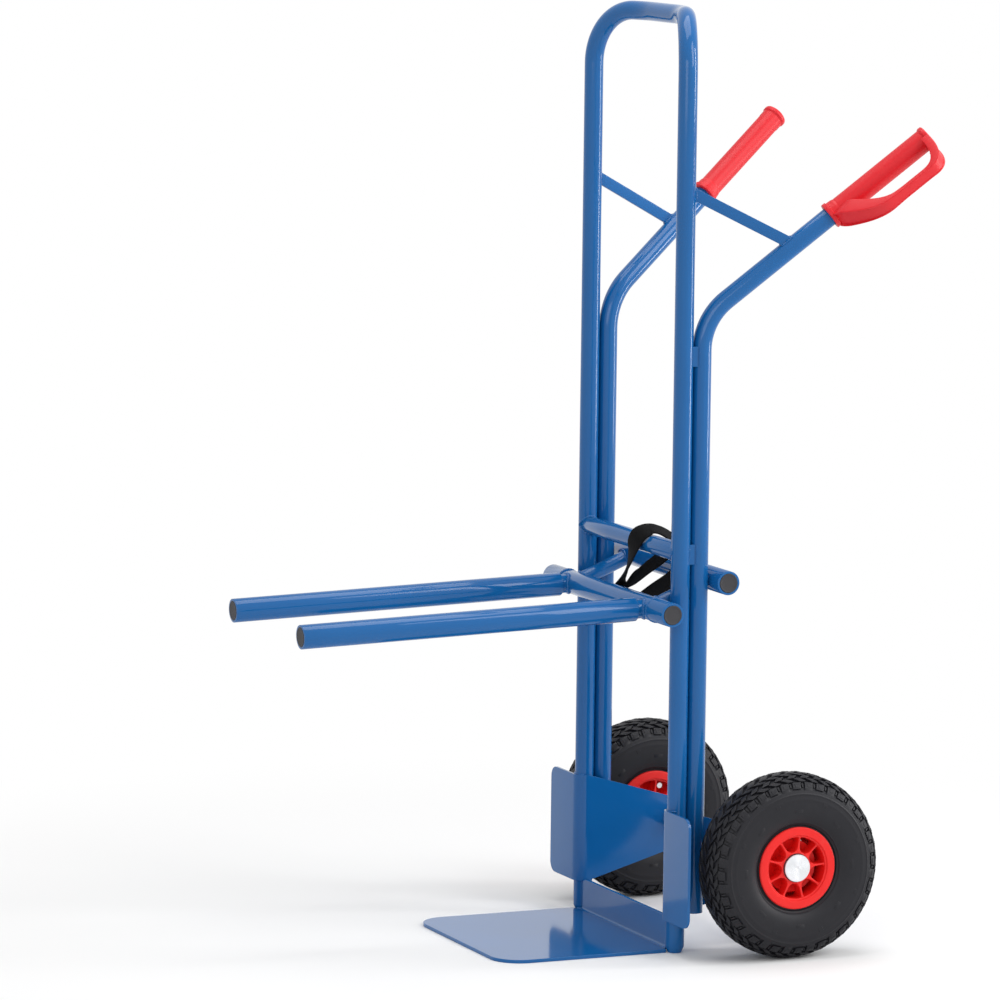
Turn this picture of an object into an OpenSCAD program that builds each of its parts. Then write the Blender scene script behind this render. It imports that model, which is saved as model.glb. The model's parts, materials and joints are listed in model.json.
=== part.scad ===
// Hand truck with a sliding fork for stacks of chairs.
// Millimetres, +Z up. The front (toe plate) faces -Y, the wheels and handles are at +Y, and +X is the left
// side of a person who stands behind it. The origin is on the floor, on the underside of the toe plate.

/* [Frame] */
// Outer diameter of the frame and handle tubes
tube_d = 26.9; // [22:0.1:34]
// Wall of the frame and handle tubes
tube_wall = 2.3; // [1.5:0.1:3]
// Height of the top of the loop above the floor
frame_h = 1322; // [1200:1:1450]
// Distance between the centre lines of the two uprights
upright_span = 317; // [290:1:380]
// Centre line radius of the two bends of the top loop
loop_r = 78; // [60:1:82]
// Angle by which the two shoulders of the loop sweep back
loop_sweep = 21.3; // [4:0.1:24]
// Distance from the middle to the corner between a shoulder and the top bar
loop_corner_x = 59.4; // [40:0.2:62]
// Centre line radius of that corner
loop_corner_r = 120; // [60:5:120]
// Distance from the origin back to the plane of the uprights
upright_y = 20; // [16:1:40]
// Height of the tapered foot of each upright
foot_h = 9; // [4:1:14]
// How much the foot tapers in
foot_inset = 3.5; // [1:0.5:5]
// Height of the centre of the crossbar between the uprights
crossbar_z = 566; // [550:1:620]

/* [Handles] */
// Clear gap between an upright and the handle tube behind it
handle_gap = 0.9; // [0.6:0.1:4]
// Height of the lower end of the handle tubes
handle_foot_z = 55; // [40:1:90]
// Height where the centre lines of the upright stretch and the slanted stretch meet
handle_corner_z = 892; // [860:1:960]
// Centre line radius of the handle bend
handle_bend_r = 90; // [70:1:110]
// Angle of the slanted stretch above level
handle_rise = 39; // [32:0.5:46]
// Angle by which the handles splay outward
handle_splay = 15.6; // [10:0.2:20]
// Distance along the slant from the corner to the collar of the grip
grip_start = 230; // [225:1:260]
// Height of the lower pair of tube spacers
spacer_low_z = 550; // [500:1:600]
// Height of the upper pair of tube spacers
spacer_high_z = 827; // [780:1:828]
// Height of one tube spacer
spacer_h = 28; // [16:1:29]
// Height where the brace meets the upright
brace_z = 1072; // [1040:1:1090]
// Slope of the brace below level, towards the back
brace_fall = 26.5; // [24:0.5:32]
// Width of the flat bar of the brace
brace_w = 16; // [12:1:22]
// Thickness of the flat bar of the brace
brace_t = 5; // [3:0.5:8]

/* [Grips] */
// Length of a grip from collar to tip
grip_len = 174; // [150:1:190]
// Diameter of the grip's body
grip_d = 32; // [31:0.5:35]
// Diameter of the flange at the tip
grip_flange_d = 36; // [35:0.5:42]
// Thickness of the flange at the tip
grip_flange_t = 6; // [4:0.5:9]
// Diameter of the collar at the lower end
grip_collar_d = 36; // [35:0.5:42]
// Length of the collar
grip_collar_len = 12; // [8:1:24]
// Closed wall at the tip of the grip
grip_end_wall = 5; // [3:0.5:8]
// Distance from the grip's axis to the outside of the finger guard
guard_reach = 61; // [52:1:66]
// Thickness of the finger guard
guard_t = 6; // [4:0.5:8]
// Width of the finger guard
guard_w = 19; // [14:1:26]
// Turn of the finger guard from straight outward towards the floor
guard_turn = 32; // [0:1:60]

/* [Toe plate] */
// Width of the toe plate
toe_w = 320; // [280:1:380]
// Length of the toe plate in front of the uprights' plane
toe_len = 264; // [180:1:400]
// Thickness of the toe plate
toe_t = 5; // [4:0.5:8]
// Radius of the two front corners
toe_corner_r = 42; // [10:1:60]
// Height of the upstand between the uprights
toe_upstand_h = 50; // [30:1:90]
// Inner radius of the bend
toe_bend_r = 3; // [2:0.5:6]

/* [Axle bracket] */
// Thickness of the bracket plate
bracket_t = 4; // [3:0.5:5]
// Height of the lower edge of the wing
bracket_low_z = 46.5; // [30:0.5:60]
// Height of the upper edge of the wing
bracket_high_z = 202; // [180:1:210]
// Distance of the outer edge of the wing from the middle
wing_x = 237; // [215:1:280]
// Radius of the wing's outer corners
wing_corner_r = 16; // [6:1:30]
// Height of the side plate at its back end
bracket_back_h = 66; // [50:1:90]
// Reach of the side plate behind the axle
bracket_past_axle = 27; // [22:1:40]
// Radius of the rounded corners at the back end
bracket_back_r = 12; // [5:1:20]

/* [Axle and wheels] */
// Distance of the axle behind the uprights' plane
axle_back = 135; // [126:1:170]
// Diameter of the axle
axle_d = 20; // [16:0.5:22]
// Outer diameter of the axle tube
axle_tube_d = 30; // [27:0.5:36]
// Distance between the middle planes of the two wheels
wheel_track = 478; // [470:1:560]
// Diameter of the tyre
tyre_d = 262; // [250:1:264]
// Width of the tyre
tyre_w = 79; // [76:1:85]
// Carcass thickness of the tyre
tyre_wall = 6; // [4:0.5:8]
// Diameter over the lips of the rim
rim_d = 116.5; // [110:0.5:120]
// Width over the lips of the rim
rim_w = 64; // [56:1:66]
// Diameter of the open well inside the rim
well_d = 87; // [78:1:90]
// Depth of the well below the lip
well_depth = 21; // [12:1:22]
// Outer diameter of the hub
hub_d = 45; // [43:0.5:50]
// Number of ribs in each rim half
rib_count = 9; // [5:1:12]
// Thickness of a rib
rib_t = 2.6; // [2:0.1:4]
// Outer diameter of a hub bearing
bearing_d = 35; // [32:0.5:37]
// Width of a hub bearing
bearing_w = 11; // [8:0.5:14]
// Running clearance of the bearing on the axle
running_gap = 0.05; // [0.02:0.01:0.1]
// Diameter of the hub cap
hub_cap_d = 38.8; // [34:0.1:41]
// Thickness of the hub cap
hub_cap_h = 2.4; // [2:0.1:4]
// Number of screws that join the rim halves
screw_count = 3; // [3:1:6]

/* [Fork] */
// Outer diameter of the fork's crossbars and arms
bar_d = 33.7; // [30:0.1:38]
// Wall of the fork's tubes
bar_wall = 3.2; // [2:0.1:4]
// Height of the centre of the front crossbar
fork_z = 486; // [440:1:490]
// How much higher the rear crossbar sits
fork_lift = 38.5; // [30:0.5:45]
// Gap between a crossbar and the tube that it jams against
jam_gap = 2; // [1:0.1:6]
// Half length of the front crossbar
front_bar_half = 206; // [185:1:230]
// Half length of the rear crossbar
rear_bar_half = 190; // [185:1:210]
// Distance of each arm from the middle
arm_x = 130; // [100:1:130]
// Diameter of the tubes that join the two crossbars
link_d = 21.4; // [18:0.2:28]
// Angle by which the arms droop below level
arm_droop = 1.7; // [0:0.1:3]
// Length of an arm tube
arm_len = 500; // [300:5:600]
// Gap between the front crossbar and the arm tube, where the stub shows
arm_step = 8; // [4:0.5:14]
// Length of the stub inside the arm tube
stub_grip = 60; // [40:1:90]
// How far an end plug stands proud of its tube
plug_t = 0.6; // [0.3:0.1:2]
// Depth of an end plug inside its tube
plug_depth = 16; // [10:1:24]

/* [Strap] */
// Width of the webbing strap
strap_w = 25; // [15:1:25]
// Thickness of the webbing strap
strap_t = 2.5; // [1.5:0.1:3]
// Length of the strap's keeper
keeper_len = 10; // [6:1:12]
// Wall of the strap's keeper
keeper_wall = 1.8; // [1.2:0.1:2.5]

/* [Hidden] */
$fn = 48;

// Gap left at a welded joint, and the gap of a pressed or seated fit
weld_gap = 0.1;
fit_gap = 0.15;
// Gap between the stretches of a bent tube
seam_gap = 0.02;
// Half of the gap between the two halves of a rim
split_gap = 0.1;
LEFT = 1;
RIGHT = -1;

frame_blue = [0.16, 0.42, 0.68];
signal_red = [0.85, 0.07, 0.06];
rubber_black = [0.09, 0.09, 0.10];
zinc = [0.78, 0.80, 0.82];

tube_r = tube_d / 2;
upright_x = upright_span / 2;
handle_y = upright_y + tube_d + handle_gap;
// From an upright along the shoulder to the loop's corner, and what is left of it for the corner's bend
shoulder = (upright_x - loop_corner_x) / cos(loop_sweep);
corner_tangent = min(loop_corner_r * tan(loop_sweep / 2), shoulder - loop_r - 1);
corner_r = corner_tangent / tan(loop_sweep / 2);
loop_z = frame_h - tube_r - loop_r;
loop_y = upright_y + (upright_x - loop_corner_x) * tan(loop_sweep);
bend_angle = 90 - handle_rise;
bend_tangent = handle_bend_r * tan(bend_angle / 2);
grip_end = grip_start + grip_len;
bar_r = bar_d / 2;
front_bar_y = upright_y - tube_r - jam_gap - bar_r;
rear_bar_y = handle_y + tube_r + jam_gap + bar_r;
fork_top_z = fork_z + fork_lift;
axle_y = upright_y + axle_back;
axle_z = tyre_d / 2;
wheel_x = wheel_track / 2;
well_r = well_d / 2;
hub_inset = 4;
hub_half = rim_w / 2 - hub_inset;
washer_t = 2;
// Turn of the wheels at rest
rib_turn = 14;
seal_t = 1.2;
// Turn of the brace outward, so that it meets the splayed handle tube
brace_turn = 14.5;
// The upstand's front face lies this far in front of the uprights' plane
toe_heel = 10;
// The side plate's back end is centred this far below the axle
bracket_drop = 7;
axle_tube_half = wheel_x - hub_half - washer_t - seal_t - 3 * fit_gap;

// ---- placing ----

module mirrored(side) {
    mirror([side == LEFT ? 0 : 1, 0, 0]) children();
}

module along_x(x0, x1, y, z) {
    translate([x0, y, z]) rotate([0, 90, 0]) children();
}

// Puts a shape drawn about +Z on the slanted stretch of the left handle, a distance from the corner.
module on_handle(distance) {
    translate([upright_x, handle_y, handle_corner_z]) rotate([0, 0, -handle_splay])
        rotate([-bend_angle, 0, 0]) translate([0, 0, distance]) children();
}

// ---- frame ----

module ring(r) {
    difference() {
        circle(r = r);
        circle(r = r - tube_wall);
    }
}

// A straight upright with its tapered foot.
module upright() {
    translate([upright_x, upright_y, 0]) difference() {
        union() {
            cylinder(r1 = tube_r - foot_inset, r2 = tube_r, h = foot_h);
            translate([0, 0, foot_h]) cylinder(r = tube_r, h = loop_z - foot_h - seam_gap);
        }
        translate([0, 0, -1]) cylinder(r = min(tube_r - tube_wall, tube_r - foot_inset - 0.5), h = loop_z + 2);
    }
}

// The bend above an upright, the swept shoulder and the bend at the loop's corner.
module loop_shoulder() {
    straight = shoulder - loop_r - corner_tangent;
    translate([upright_x, upright_y, loop_z]) rotate([0, 0, -loop_sweep]) {
        translate([-loop_r, 0, 0]) rotate([90, 0, 0])
            rotate_extrude(angle = 90) translate([loop_r, 0]) ring(tube_r);
        along_x(-loop_r - straight + seam_gap, 0, 0, loop_r)
            linear_extrude(straight - 2 * seam_gap) ring(tube_r);
        translate([-loop_r - straight, -corner_r, loop_r]) rotate([0, 0, 90])
            rotate_extrude(angle = loop_sweep) translate([corner_r, 0]) ring(tube_r);
    }
}

module main_frame_tube() {
    half_bar = loop_corner_x - corner_tangent - seam_gap;
    color(frame_blue) {
        for (side = [LEFT, RIGHT]) mirrored(side) {
            upright();
            loop_shoulder();
        }
        along_x(-half_bar, 0, loop_y, loop_z + loop_r) linear_extrude(2 * half_bar) ring(tube_r);
    }
}

module handle_tube(side) {
    straight_z = handle_corner_z - bend_tangent;
    color(frame_blue) mirrored(side) {
        translate([upright_x, handle_y, handle_foot_z])
            linear_extrude(straight_z - handle_foot_z - seam_gap) ring(tube_r);
        translate([upright_x, handle_y, straight_z]) rotate([0, 0, -handle_splay])
            translate([0, handle_bend_r, 0]) rotate([90, 0, -90])
            rotate_extrude(angle = bend_angle) translate([handle_bend_r, 0]) ring(tube_r);
        on_handle(bend_tangent + seam_gap)
            linear_extrude(grip_end - grip_end_wall - fit_gap - bend_tangent - seam_gap) ring(tube_r);
    }
}

// Filler plates in the outer groove between an upright and its handle tube.
module tube_spacers() {
    groove = tube_r * 0.45;
    mid_y = (upright_y + handle_y) / 2;
    color(frame_blue)
        for (side = [LEFT, RIGHT], z = [spacer_low_z, spacer_high_z]) mirrored(side) difference() {
            translate([upright_x + groove, mid_y - tube_r * 0.62, z])
                cube([tube_r * 0.22, tube_r * 1.24, spacer_h]);
            for (y = [upright_y, handle_y]) translate([upright_x, y, z - 1])
                cylinder(r = tube_r + weld_gap, h = spacer_h + 2);
        }
}

// A flat bar from the back of the upright down to the top of the slanted handle stretch, cut to both tubes.
module brace(side) {
    long = 200;
    color(frame_blue) mirrored(side) difference() {
        translate([upright_x, upright_y, brace_z]) rotate([0, 0, -brace_turn]) rotate([-brace_fall, 0, 0])
            translate([-brace_t / 2, 0, -brace_w / 2]) cube([brace_t, long, brace_w]);
        translate([upright_x, upright_y, brace_z - long / 2]) cylinder(r = tube_r + weld_gap, h = long);
        on_handle(-long / 2) cylinder(r = tube_r + weld_gap, h = 3 * long);
        on_handle(-long / 2) translate([-long / 2, 0, 0]) cube([long, long, 3 * long]);
    }
}

module mid_crossbar() {
    color(frame_blue) difference() {
        along_x(-upright_x, upright_x, upright_y, crossbar_z) difference() {
            cylinder(r = tube_r, h = upright_span);
            translate([0, 0, -1]) cylinder(r = tube_r - tube_wall, h = upright_span + 2);
        }
        for (side = [LEFT, RIGHT]) translate([side * upright_x, upright_y, crossbar_z - tube_d])
            cylinder(r = tube_r + weld_gap, h = 2 * tube_d);
    }
}

// ---- toe plate ----

module toe_outline() {
    front = upright_y - toe_len;
    back = upright_y - toe_heel;
    difference() {
        union() {
            translate([-toe_w / 2, front + toe_corner_r]) square([toe_w, back - front - toe_corner_r]);
            translate([-toe_w / 2 + toe_corner_r, front])
                square([toe_w - 2 * toe_corner_r, toe_corner_r + 1]);
            for (side = [-1, 1]) translate([side * (toe_w / 2 - toe_corner_r), front + toe_corner_r])
                circle(r = toe_corner_r);
        }
        for (side = [-1, 1]) translate([side * upright_x, upright_y]) circle(r = tube_r + weld_gap);
    }
}

module toe_plate() {
    bend_y = upright_y - toe_heel;
    half = upright_x - tube_r - weld_gap - 0.5;
    outer_r = toe_bend_r + toe_t;
    color(frame_blue) {
        linear_extrude(toe_t) toe_outline();
        translate([-half, bend_y, outer_r]) rotate([90, 0, 90]) rotate([0, 0, -90])
            sheet_bend(outer_r, toe_bend_r, 2 * half);
        difference() {
            translate([-half, bend_y + toe_bend_r, outer_r]) cube([2 * half, toe_t, toe_upstand_h - outer_r]);
            for (side = [LEFT, RIGHT]) mirrored(side)
                translate([half + 0.4 - bracket_t, bend_y, bracket_low_z - weld_gap])
                    cube([bracket_t + 1, toe_t + 2 * toe_bend_r, toe_upstand_h]);
        }
    }
}

// A quarter ring swept straight: the sheet's bend.
module sheet_bend(outer, inner, length) {
    linear_extrude(length) difference() {
        intersection() {
            circle(r = outer);
            square(outer);
        }
        circle(r = inner);
    }
}

// ---- axle bracket ----

// Outline in plan: the wing in front of the wheel, the wrap round the upright and the side plate.
module bracket_plan() {
    inner = tube_r + weld_gap;
    outer = inner + bracket_t;
    translate([upright_x, upright_y]) {
        translate([0, -outer]) square([wing_x - upright_x, bracket_t]);
        intersection() {
            difference() {
                circle(r = outer);
                circle(r = inner);
            }
            translate([-outer, -outer]) square(outer);
        }
        translate([-outer, 0]) square([bracket_t, axle_back + bracket_past_axle]);
    }
}

// Side view of the side plate: full height at the upright, tapering to the back end.
module side_outline() {
    back_y = axle_y + bracket_past_axle;
    r = bracket_back_r;
    low = axle_z - bracket_drop - bracket_back_h / 2;
    high = low + bracket_back_h;
    polygon(concat(
        [[upright_y - 2 * tube_d, bracket_low_z], [upright_y, bracket_low_z]],
        [for (a = [-80 : 20 : 0]) [back_y - r + r * cos(a), low + r + r * sin(a)]],
        [for (a = [0 : 20 : 80]) [back_y - r + r * cos(a), high - r + r * sin(a)]],
        [[upright_y, bracket_high_z], [upright_y - 2 * tube_d, bracket_high_z]]));
}

// Front view of the wing with its rounded outer corners.
module wing_outline() {
    r = wing_corner_r;
    h = bracket_high_z - bracket_low_z;
    translate([0, bracket_low_z]) {
        square([wing_x - r, h]);
        translate([0, r]) square([wing_x, h - 2 * r]);
        for (z = [r, h - r]) translate([wing_x - r, z]) circle(r = r);
    }
}

module axle_bracket(side) {
    color(frame_blue) mirrored(side) difference() {
        intersection() {
            linear_extrude(bracket_high_z + 10) bracket_plan();
            rotate([90, 0, 90]) linear_extrude(wing_x + 10) side_outline();
            translate([0, axle_y + 100, 0]) rotate([90, 0, 0]) linear_extrude(axle_y + 200) wing_outline();
        }
        along_x(0, wing_x, axle_y, axle_z) cylinder(d = axle_tube_d + 2 * weld_gap, h = wing_x);
    }
}

// ---- axle ----

module axle_tube() {
    color(frame_blue) along_x(-axle_tube_half, axle_tube_half, axle_y, axle_z) difference() {
        cylinder(d = axle_tube_d, h = 2 * axle_tube_half);
        translate([0, 0, -1]) cylinder(d = axle_d + 2 * fit_gap, h = 2 * axle_tube_half + 2);
    }
}

cap_x = wheel_x + hub_half + seal_t + 2 * fit_gap;
axle_half = cap_x + hub_cap_h / 2;

module axle() {
    color(zinc) along_x(-axle_half, axle_half, axle_y, axle_z) cylinder(d = axle_d, h = 2 * axle_half);
}

module ring_x(side, x, outer, inner, t) {
    mirrored(side) along_x(x, x + t, axle_y, axle_z) difference() {
        cylinder(d = outer, h = t);
        translate([0, 0, -1]) cylinder(d = inner, h = t + 2);
    }
}

// A steel washer between the axle tube and each hub.
module axle_washers() {
    color(zinc) for (side = [LEFT, RIGHT])
        ring_x(side, axle_tube_half + fit_gap, axle_tube_d + 2, axle_d + 2 * fit_gap, washer_t);
}

// Black plastic seals at both ends of each hub.
module hub_seals() {
    color(rubber_black) for (side = [LEFT, RIGHT]) {
        ring_x(side, wheel_x - hub_half - seal_t - fit_gap, hub_cap_d + 1.6, axle_d + 2 * fit_gap, seal_t);
        ring_x(side, wheel_x + hub_half + fit_gap, hub_cap_d + 1.6, axle_d + 2 * fit_gap, seal_t);
    }
}

// Flat cap, pressed on the end of the axle, that keeps the wheel on.
module hub_cap(side) {
    edge = 0.6;
    color(zinc) mirrored(side) along_x(cap_x, 0, axle_y, axle_z) difference() {
        union() {
            cylinder(d = hub_cap_d, h = hub_cap_h - edge);
            translate([0, 0, hub_cap_h - edge]) cylinder(d1 = hub_cap_d, d2 = hub_cap_d - 2 * edge, h = edge);
        }
        translate([0, 0, -1]) cylinder(d = axle_d + 2 * running_gap, h = 1 + hub_cap_h / 2 + running_gap);
    }
}

// ---- grips ----

// Quarter of a rounded curve from (0, height) to (length, 0).
function bow(length, height) = [for (t = [90 : -10 : 0])
    [length * pow(cos(t), 0.75), height * pow(sin(t), 0.75)]];
// Rise from 0 to a height over a length, steep at first.
function rise(length, height) = [for (t = [0 : 10 : 90]) [length * t / 90, height * sin(t)]];
function moved(points, by) = [for (p = points) p + by];

// Side view of the guard: along the grip, out from its axis.
module guard_outline() {
    root = grip_d / 2 - 4;
    rise_len = 72;
    bow_len = 30;
    in_start = 24;
    in_end = grip_len - 15;
    collar_r = grip_collar_d / 2 - 1;
    difference() {
        polygon(concat([[0, root]], moved(rise(rise_len, guard_reach - collar_r), [0, collar_r]),
            moved(bow(bow_len, guard_reach - root), [grip_len - bow_len, root])));
        polygon(concat([[in_start, root - 2]],
            moved(rise(56, guard_reach - guard_t - root), [in_start + 6, root]),
            moved(bow(bow_len - 4, guard_reach - guard_t - root), [in_end - bow_len + 4, root]),
            [[in_end, root - 2]]));
    }
}

module grip(side) {
    color(signal_red) mirrored(side) on_handle(grip_start) difference() {
        union() {
            cylinder(d = grip_d, h = grip_len);
            cylinder(d1 = grip_collar_d - 3, d2 = grip_collar_d, h = grip_collar_len * 0.4);
            translate([0, 0, grip_collar_len * 0.4]) cylinder(d = grip_collar_d, h = grip_collar_len * 0.6);
            translate([0, 0, grip_len - grip_flange_t]) cylinder(d = grip_flange_d, h = grip_flange_t);
            rotate([0, 0, guard_turn]) translate([0, guard_w / 2, 0]) rotate([90, 0, 0]) rotate([0, 0, 90])
                mirror([0, 1, 0]) linear_extrude(guard_w) guard_outline();
        }
        translate([0, 0, -20]) cylinder(r = tube_r + fit_gap, h = 20 + grip_len - grip_end_wall);
    }
}

// ---- wheels ----

// Points of a rounded section about (mid, 0): half height along the radius, half width along the axle.
// It is fuller than an ellipse at the tread and towards the rim.
function section(mid, half_h, half_w) = [for (a = [0 : 10 : 350]) let (k = cos(a) > 0.01 ? 0.8 : 0.77)
    [mid + half_h * sign(cos(a)) * pow(abs(cos(a)), k), half_w * sign(sin(a)) * pow(abs(sin(a)), k)]];

tyre_half_h = (tyre_d - rim_d) / 4 + 3;
tyre_mid = tyre_d / 2 - tyre_half_h;
barrel_r = rim_d / 2 - 8;
lip_t = 3.2;
// Radius where the tyre's beads end
bead_r = rim_d / 2 + 3;

module on_wheel(side) {
    mirrored(side) translate([wheel_x, axle_y, axle_z]) rotate([0, 90, 0]) children();
}

module tyre(side) {
    bead_w = rim_w / 2 - lip_t - fit_gap;
    color(rubber_black) on_wheel(side) rotate_extrude() difference() {
        union() {
            difference() {
                polygon(section(tyre_mid, tyre_half_h, tyre_w / 2));
                polygon(section(tyre_mid, tyre_half_h - tyre_wall, tyre_w / 2 - tyre_wall));
            }
            for (end = [-1, 1]) translate([barrel_r + fit_gap, end > 0 ? bead_w - tyre_wall : -bead_w])
                square([bead_r - barrel_r, tyre_wall]);
        }
        translate([barrel_r - 20, -bead_w + tyre_wall])
            square([tyre_mid - tyre_half_h / 2 - barrel_r + 20, 2 * (bead_w - tyre_wall)]);
        for (end = [-1, 1]) translate([0, end > 0 ? bead_w : -bead_w - 20]) square([rim_d / 2 + fit_gap, 20]);
    }
}

// The inner tube fills the tyre. The valve's bore opens it.
module inner_tube(side) {
    skin = 2;
    gap = fit_gap;
    bead_w = rim_w / 2 - lip_t - tyre_wall - 2 * gap;
    half_h = tyre_half_h - tyre_wall - gap;
    half_w = tyre_w / 2 - tyre_wall - gap;
    color(rubber_black) on_wheel(side) difference() {
        rotate_extrude() difference() {
            union() {
                polygon(section(tyre_mid, half_h, half_w));
                translate([barrel_r + gap, -bead_w]) square([tyre_mid - barrel_r, 2 * bead_w]);
            }
            polygon(section(tyre_mid, half_h - skin, half_w - skin));
            for (end = [-1, 1]) translate([0, end > 0 ? bead_w : -bead_w - tyre_w])
                square([bead_r + 2 * gap, tyre_w]);
        }
        valve_axis() cylinder(r = valve_r, h = 3 * tyre_half_h);
    }
}

valve_r = 3.5;
valve_across = -15;
valve_angle = rib_turn + 3 * 180 / rib_count;

// The valve stands radially through the barrel of the inner rim half, between two ribs.
module valve_axis() {
    rotate([0, 0, valve_angle]) translate([0, 0, valve_across]) rotate([0, 90, 0])
        translate([0, 0, well_r - 13]) children();
}

module valve(side) {
    stem_len = barrel_r - well_r + 16;
    color(zinc) on_wheel(side) valve_axis() {
        cylinder(r = valve_r - fit_gap, h = stem_len);
        cylinder(r = valve_r + 1, h = 8);
    }
}

module rim_profile() {
    floor_z = rim_w / 2 - well_depth;
    floor_t = 3;
    // barrel and lip
    difference() {
        translate([well_r, 0]) square([rim_d / 2 - well_r, rim_w / 2]);
        translate([barrel_r, -1]) square([rim_d, 1 + rim_w / 2 - lip_t]);
    }
    // floor of the well
    polygon([[well_r + 1, floor_z], [well_r + 1, floor_z - floor_t], [hub_d / 2 - 1, floor_z - floor_t - 5],
        [hub_d / 2 - 1, floor_z - 5]]);
    // hub with the bearing seat
    difference() {
        translate([axle_d / 2 + 3, split_gap]) square([hub_d / 2 - axle_d / 2 - 3, hub_half - split_gap]);
        translate([0, hub_half - bearing_w]) square([bearing_d / 2 + fit_gap, bearing_w + 1]);
    }
}

// One rib seen along the axle: thin outside and flaring into the hub.
module rib_outline() {
    half = rib_t / 2;
    in = hub_d / 2 - 0.6;
    polygon([[in, -half * 3.4], [in + 2.5, -half * 2], [in + 7, -half * 1.25], [in + 13, -half],
        [well_r + 1, -half], [well_r + 1, half], [in + 13, half], [in + 7, half * 1.25],
        [in + 2.5, half * 2], [in, half * 3.4]]);
}

module rim_half() {
    floor_z = rim_w / 2 - well_depth;
    difference() {
        union() {
            intersection() {
                rotate_extrude() rim_profile();
                translate([0, 0, split_gap]) cylinder(r = rim_d, h = rim_w);
            }
            for (i = [0 : rib_count - 1]) rotate([0, 0, rib_turn + i * 360 / rib_count])
                translate([0, 0, floor_z - 6]) linear_extrude(hub_half - floor_z + 6) rib_outline();
        }
        for (i = [0 : rib_count - 1]) rotate([0, 0, rib_turn + (i + 0.5) * 360 / rib_count])
            translate([hub_d / 2 + 4.2, 0, -1]) cylinder(r = 3.4, h = floor_z + 4);
    }
}

screw_r = 2;
screw_head_r = 4;
function screw_angle(i) = rib_turn + (floor(i * rib_count / screw_count + 0.5) + 0.5) * 360 / rib_count;
screw_ring = (well_r + hub_d / 2) / 2 + 3.5;

module screw_bosses(length) {
    floor_z = rim_w / 2 - well_depth;
    for (i = [1 : screw_count]) rotate([0, 0, screw_angle(i)])
        translate([screw_ring, 0, split_gap]) cylinder(r = 4.5, h = length - split_gap);
}

module screw_holes(r, top) {
    for (i = [1 : screw_count]) rotate([0, 0, screw_angle(i)])
        translate([screw_ring, 0, -1]) cylinder(r = r, h = top + 1);
}

module rim_outer(side) {
    floor_z = rim_w / 2 - well_depth;
    color(signal_red) on_wheel(side) difference() {
        union() {
            rim_half();
            screw_bosses(floor_z - 2);
        }
        screw_holes(screw_r + fit_gap, floor_z - 4);
    }
}

module rim_inner(side) {
    floor_z = rim_w / 2 - well_depth;
    color(signal_red) on_wheel(side) mirror([0, 0, 1]) difference() {
        union() {
            rim_half();
            screw_bosses(floor_z);
        }
        screw_holes(screw_r + fit_gap, rim_w);
        rotate([0, 0, valve_angle]) translate([0, 0, -valve_across]) rotate([0, 90, 0])
            cylinder(r = valve_r + fit_gap, h = rim_d / 2);
    }
}

module rim_screws(side) {
    floor_z = rim_w / 2 - well_depth;
    color(zinc) on_wheel(side) mirror([0, 0, 1])
        for (i = [1 : screw_count]) rotate([0, 0, screw_angle(i)]) translate([screw_ring, 0, 0]) {
            translate([0, 0, -floor_z + 5]) cylinder(r = screw_r, h = 2 * floor_z - 5);
            translate([0, 0, floor_z + 1]) cylinder(r = screw_head_r, h = 3);
        }
}

module hub_bearings(side) {
    color(zinc) on_wheel(side) for (end = [-1, 1])
        translate([0, 0, end > 0 ? hub_half - bearing_w : -hub_half]) difference() {
            cylinder(d = bearing_d, h = bearing_w);
            translate([0, 0, -1]) cylinder(r = axle_d / 2 + running_gap, h = bearing_w + 2);
        }
}

// ---- fork ----

module crossbar_tube(half, y, z) {
    along_x(-half, half, y, z) difference() {
        cylinder(r = bar_r, h = 2 * half);
        translate([0, 0, -1]) cylinder(r = bar_r - bar_wall, h = 2 * half + 2);
    }
}

module fork_front_bar() {
    color(frame_blue) crossbar_tube(front_bar_half - plug_t, front_bar_y, fork_z);
}

module fork_rear_bar() {
    color(frame_blue) crossbar_tube(rear_bar_half - plug_t, rear_bar_y, fork_top_z);
}

// A tube between the crossbars, cut to fit round both.
module fork_link(side) {
    run = rear_bar_y - front_bar_y;
    reach = norm([run, fork_lift]);
    slope = atan(fork_lift / run);
    color(frame_blue) mirrored(side) difference() {
        translate([arm_x, front_bar_y, fork_z]) rotate([slope, 0, 0]) rotate([-90, 0, 0])
            cylinder(d = link_d, h = reach);
        for (end = [[front_bar_y, fork_z], [rear_bar_y, fork_top_z]])
            along_x(arm_x - bar_d, arm_x + bar_d, end[0], end[1])
                cylinder(r = bar_r + weld_gap, h = 2 * bar_d);
    }
}

// Puts a shape drawn about +Z on the left arm's axis, from the centre of the front crossbar forward.
module on_arm() {
    translate([arm_x, front_bar_y, fork_z]) rotate([90 + arm_droop, 0, 0]) children();
}

stub_r = bar_r - bar_wall - fit_gap;

// A tube welded to the front crossbar, on which the arm tube is pushed.
module fork_stub(side) {
    length = bar_r + arm_step + stub_grip;
    color(frame_blue) mirrored(side) difference() {
        on_arm() difference() {
            cylinder(r = stub_r, h = length);
            translate([0, 0, -1]) cylinder(r = stub_r - bar_wall, h = length + 2);
        }
        along_x(arm_x - bar_d, arm_x + bar_d, front_bar_y, fork_z)
            cylinder(r = bar_r + weld_gap, h = 2 * bar_d);
    }
}

arm_start = bar_r + arm_step;

module fork_arm(side) {
    length = arm_len - plug_t;
    color(frame_blue) mirrored(side) on_arm() translate([0, 0, arm_start]) difference() {
        cylinder(r = bar_r, h = length);
        translate([0, 0, -1]) cylinder(r = bar_r - bar_wall, h = length + 2);
    }
}

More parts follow.
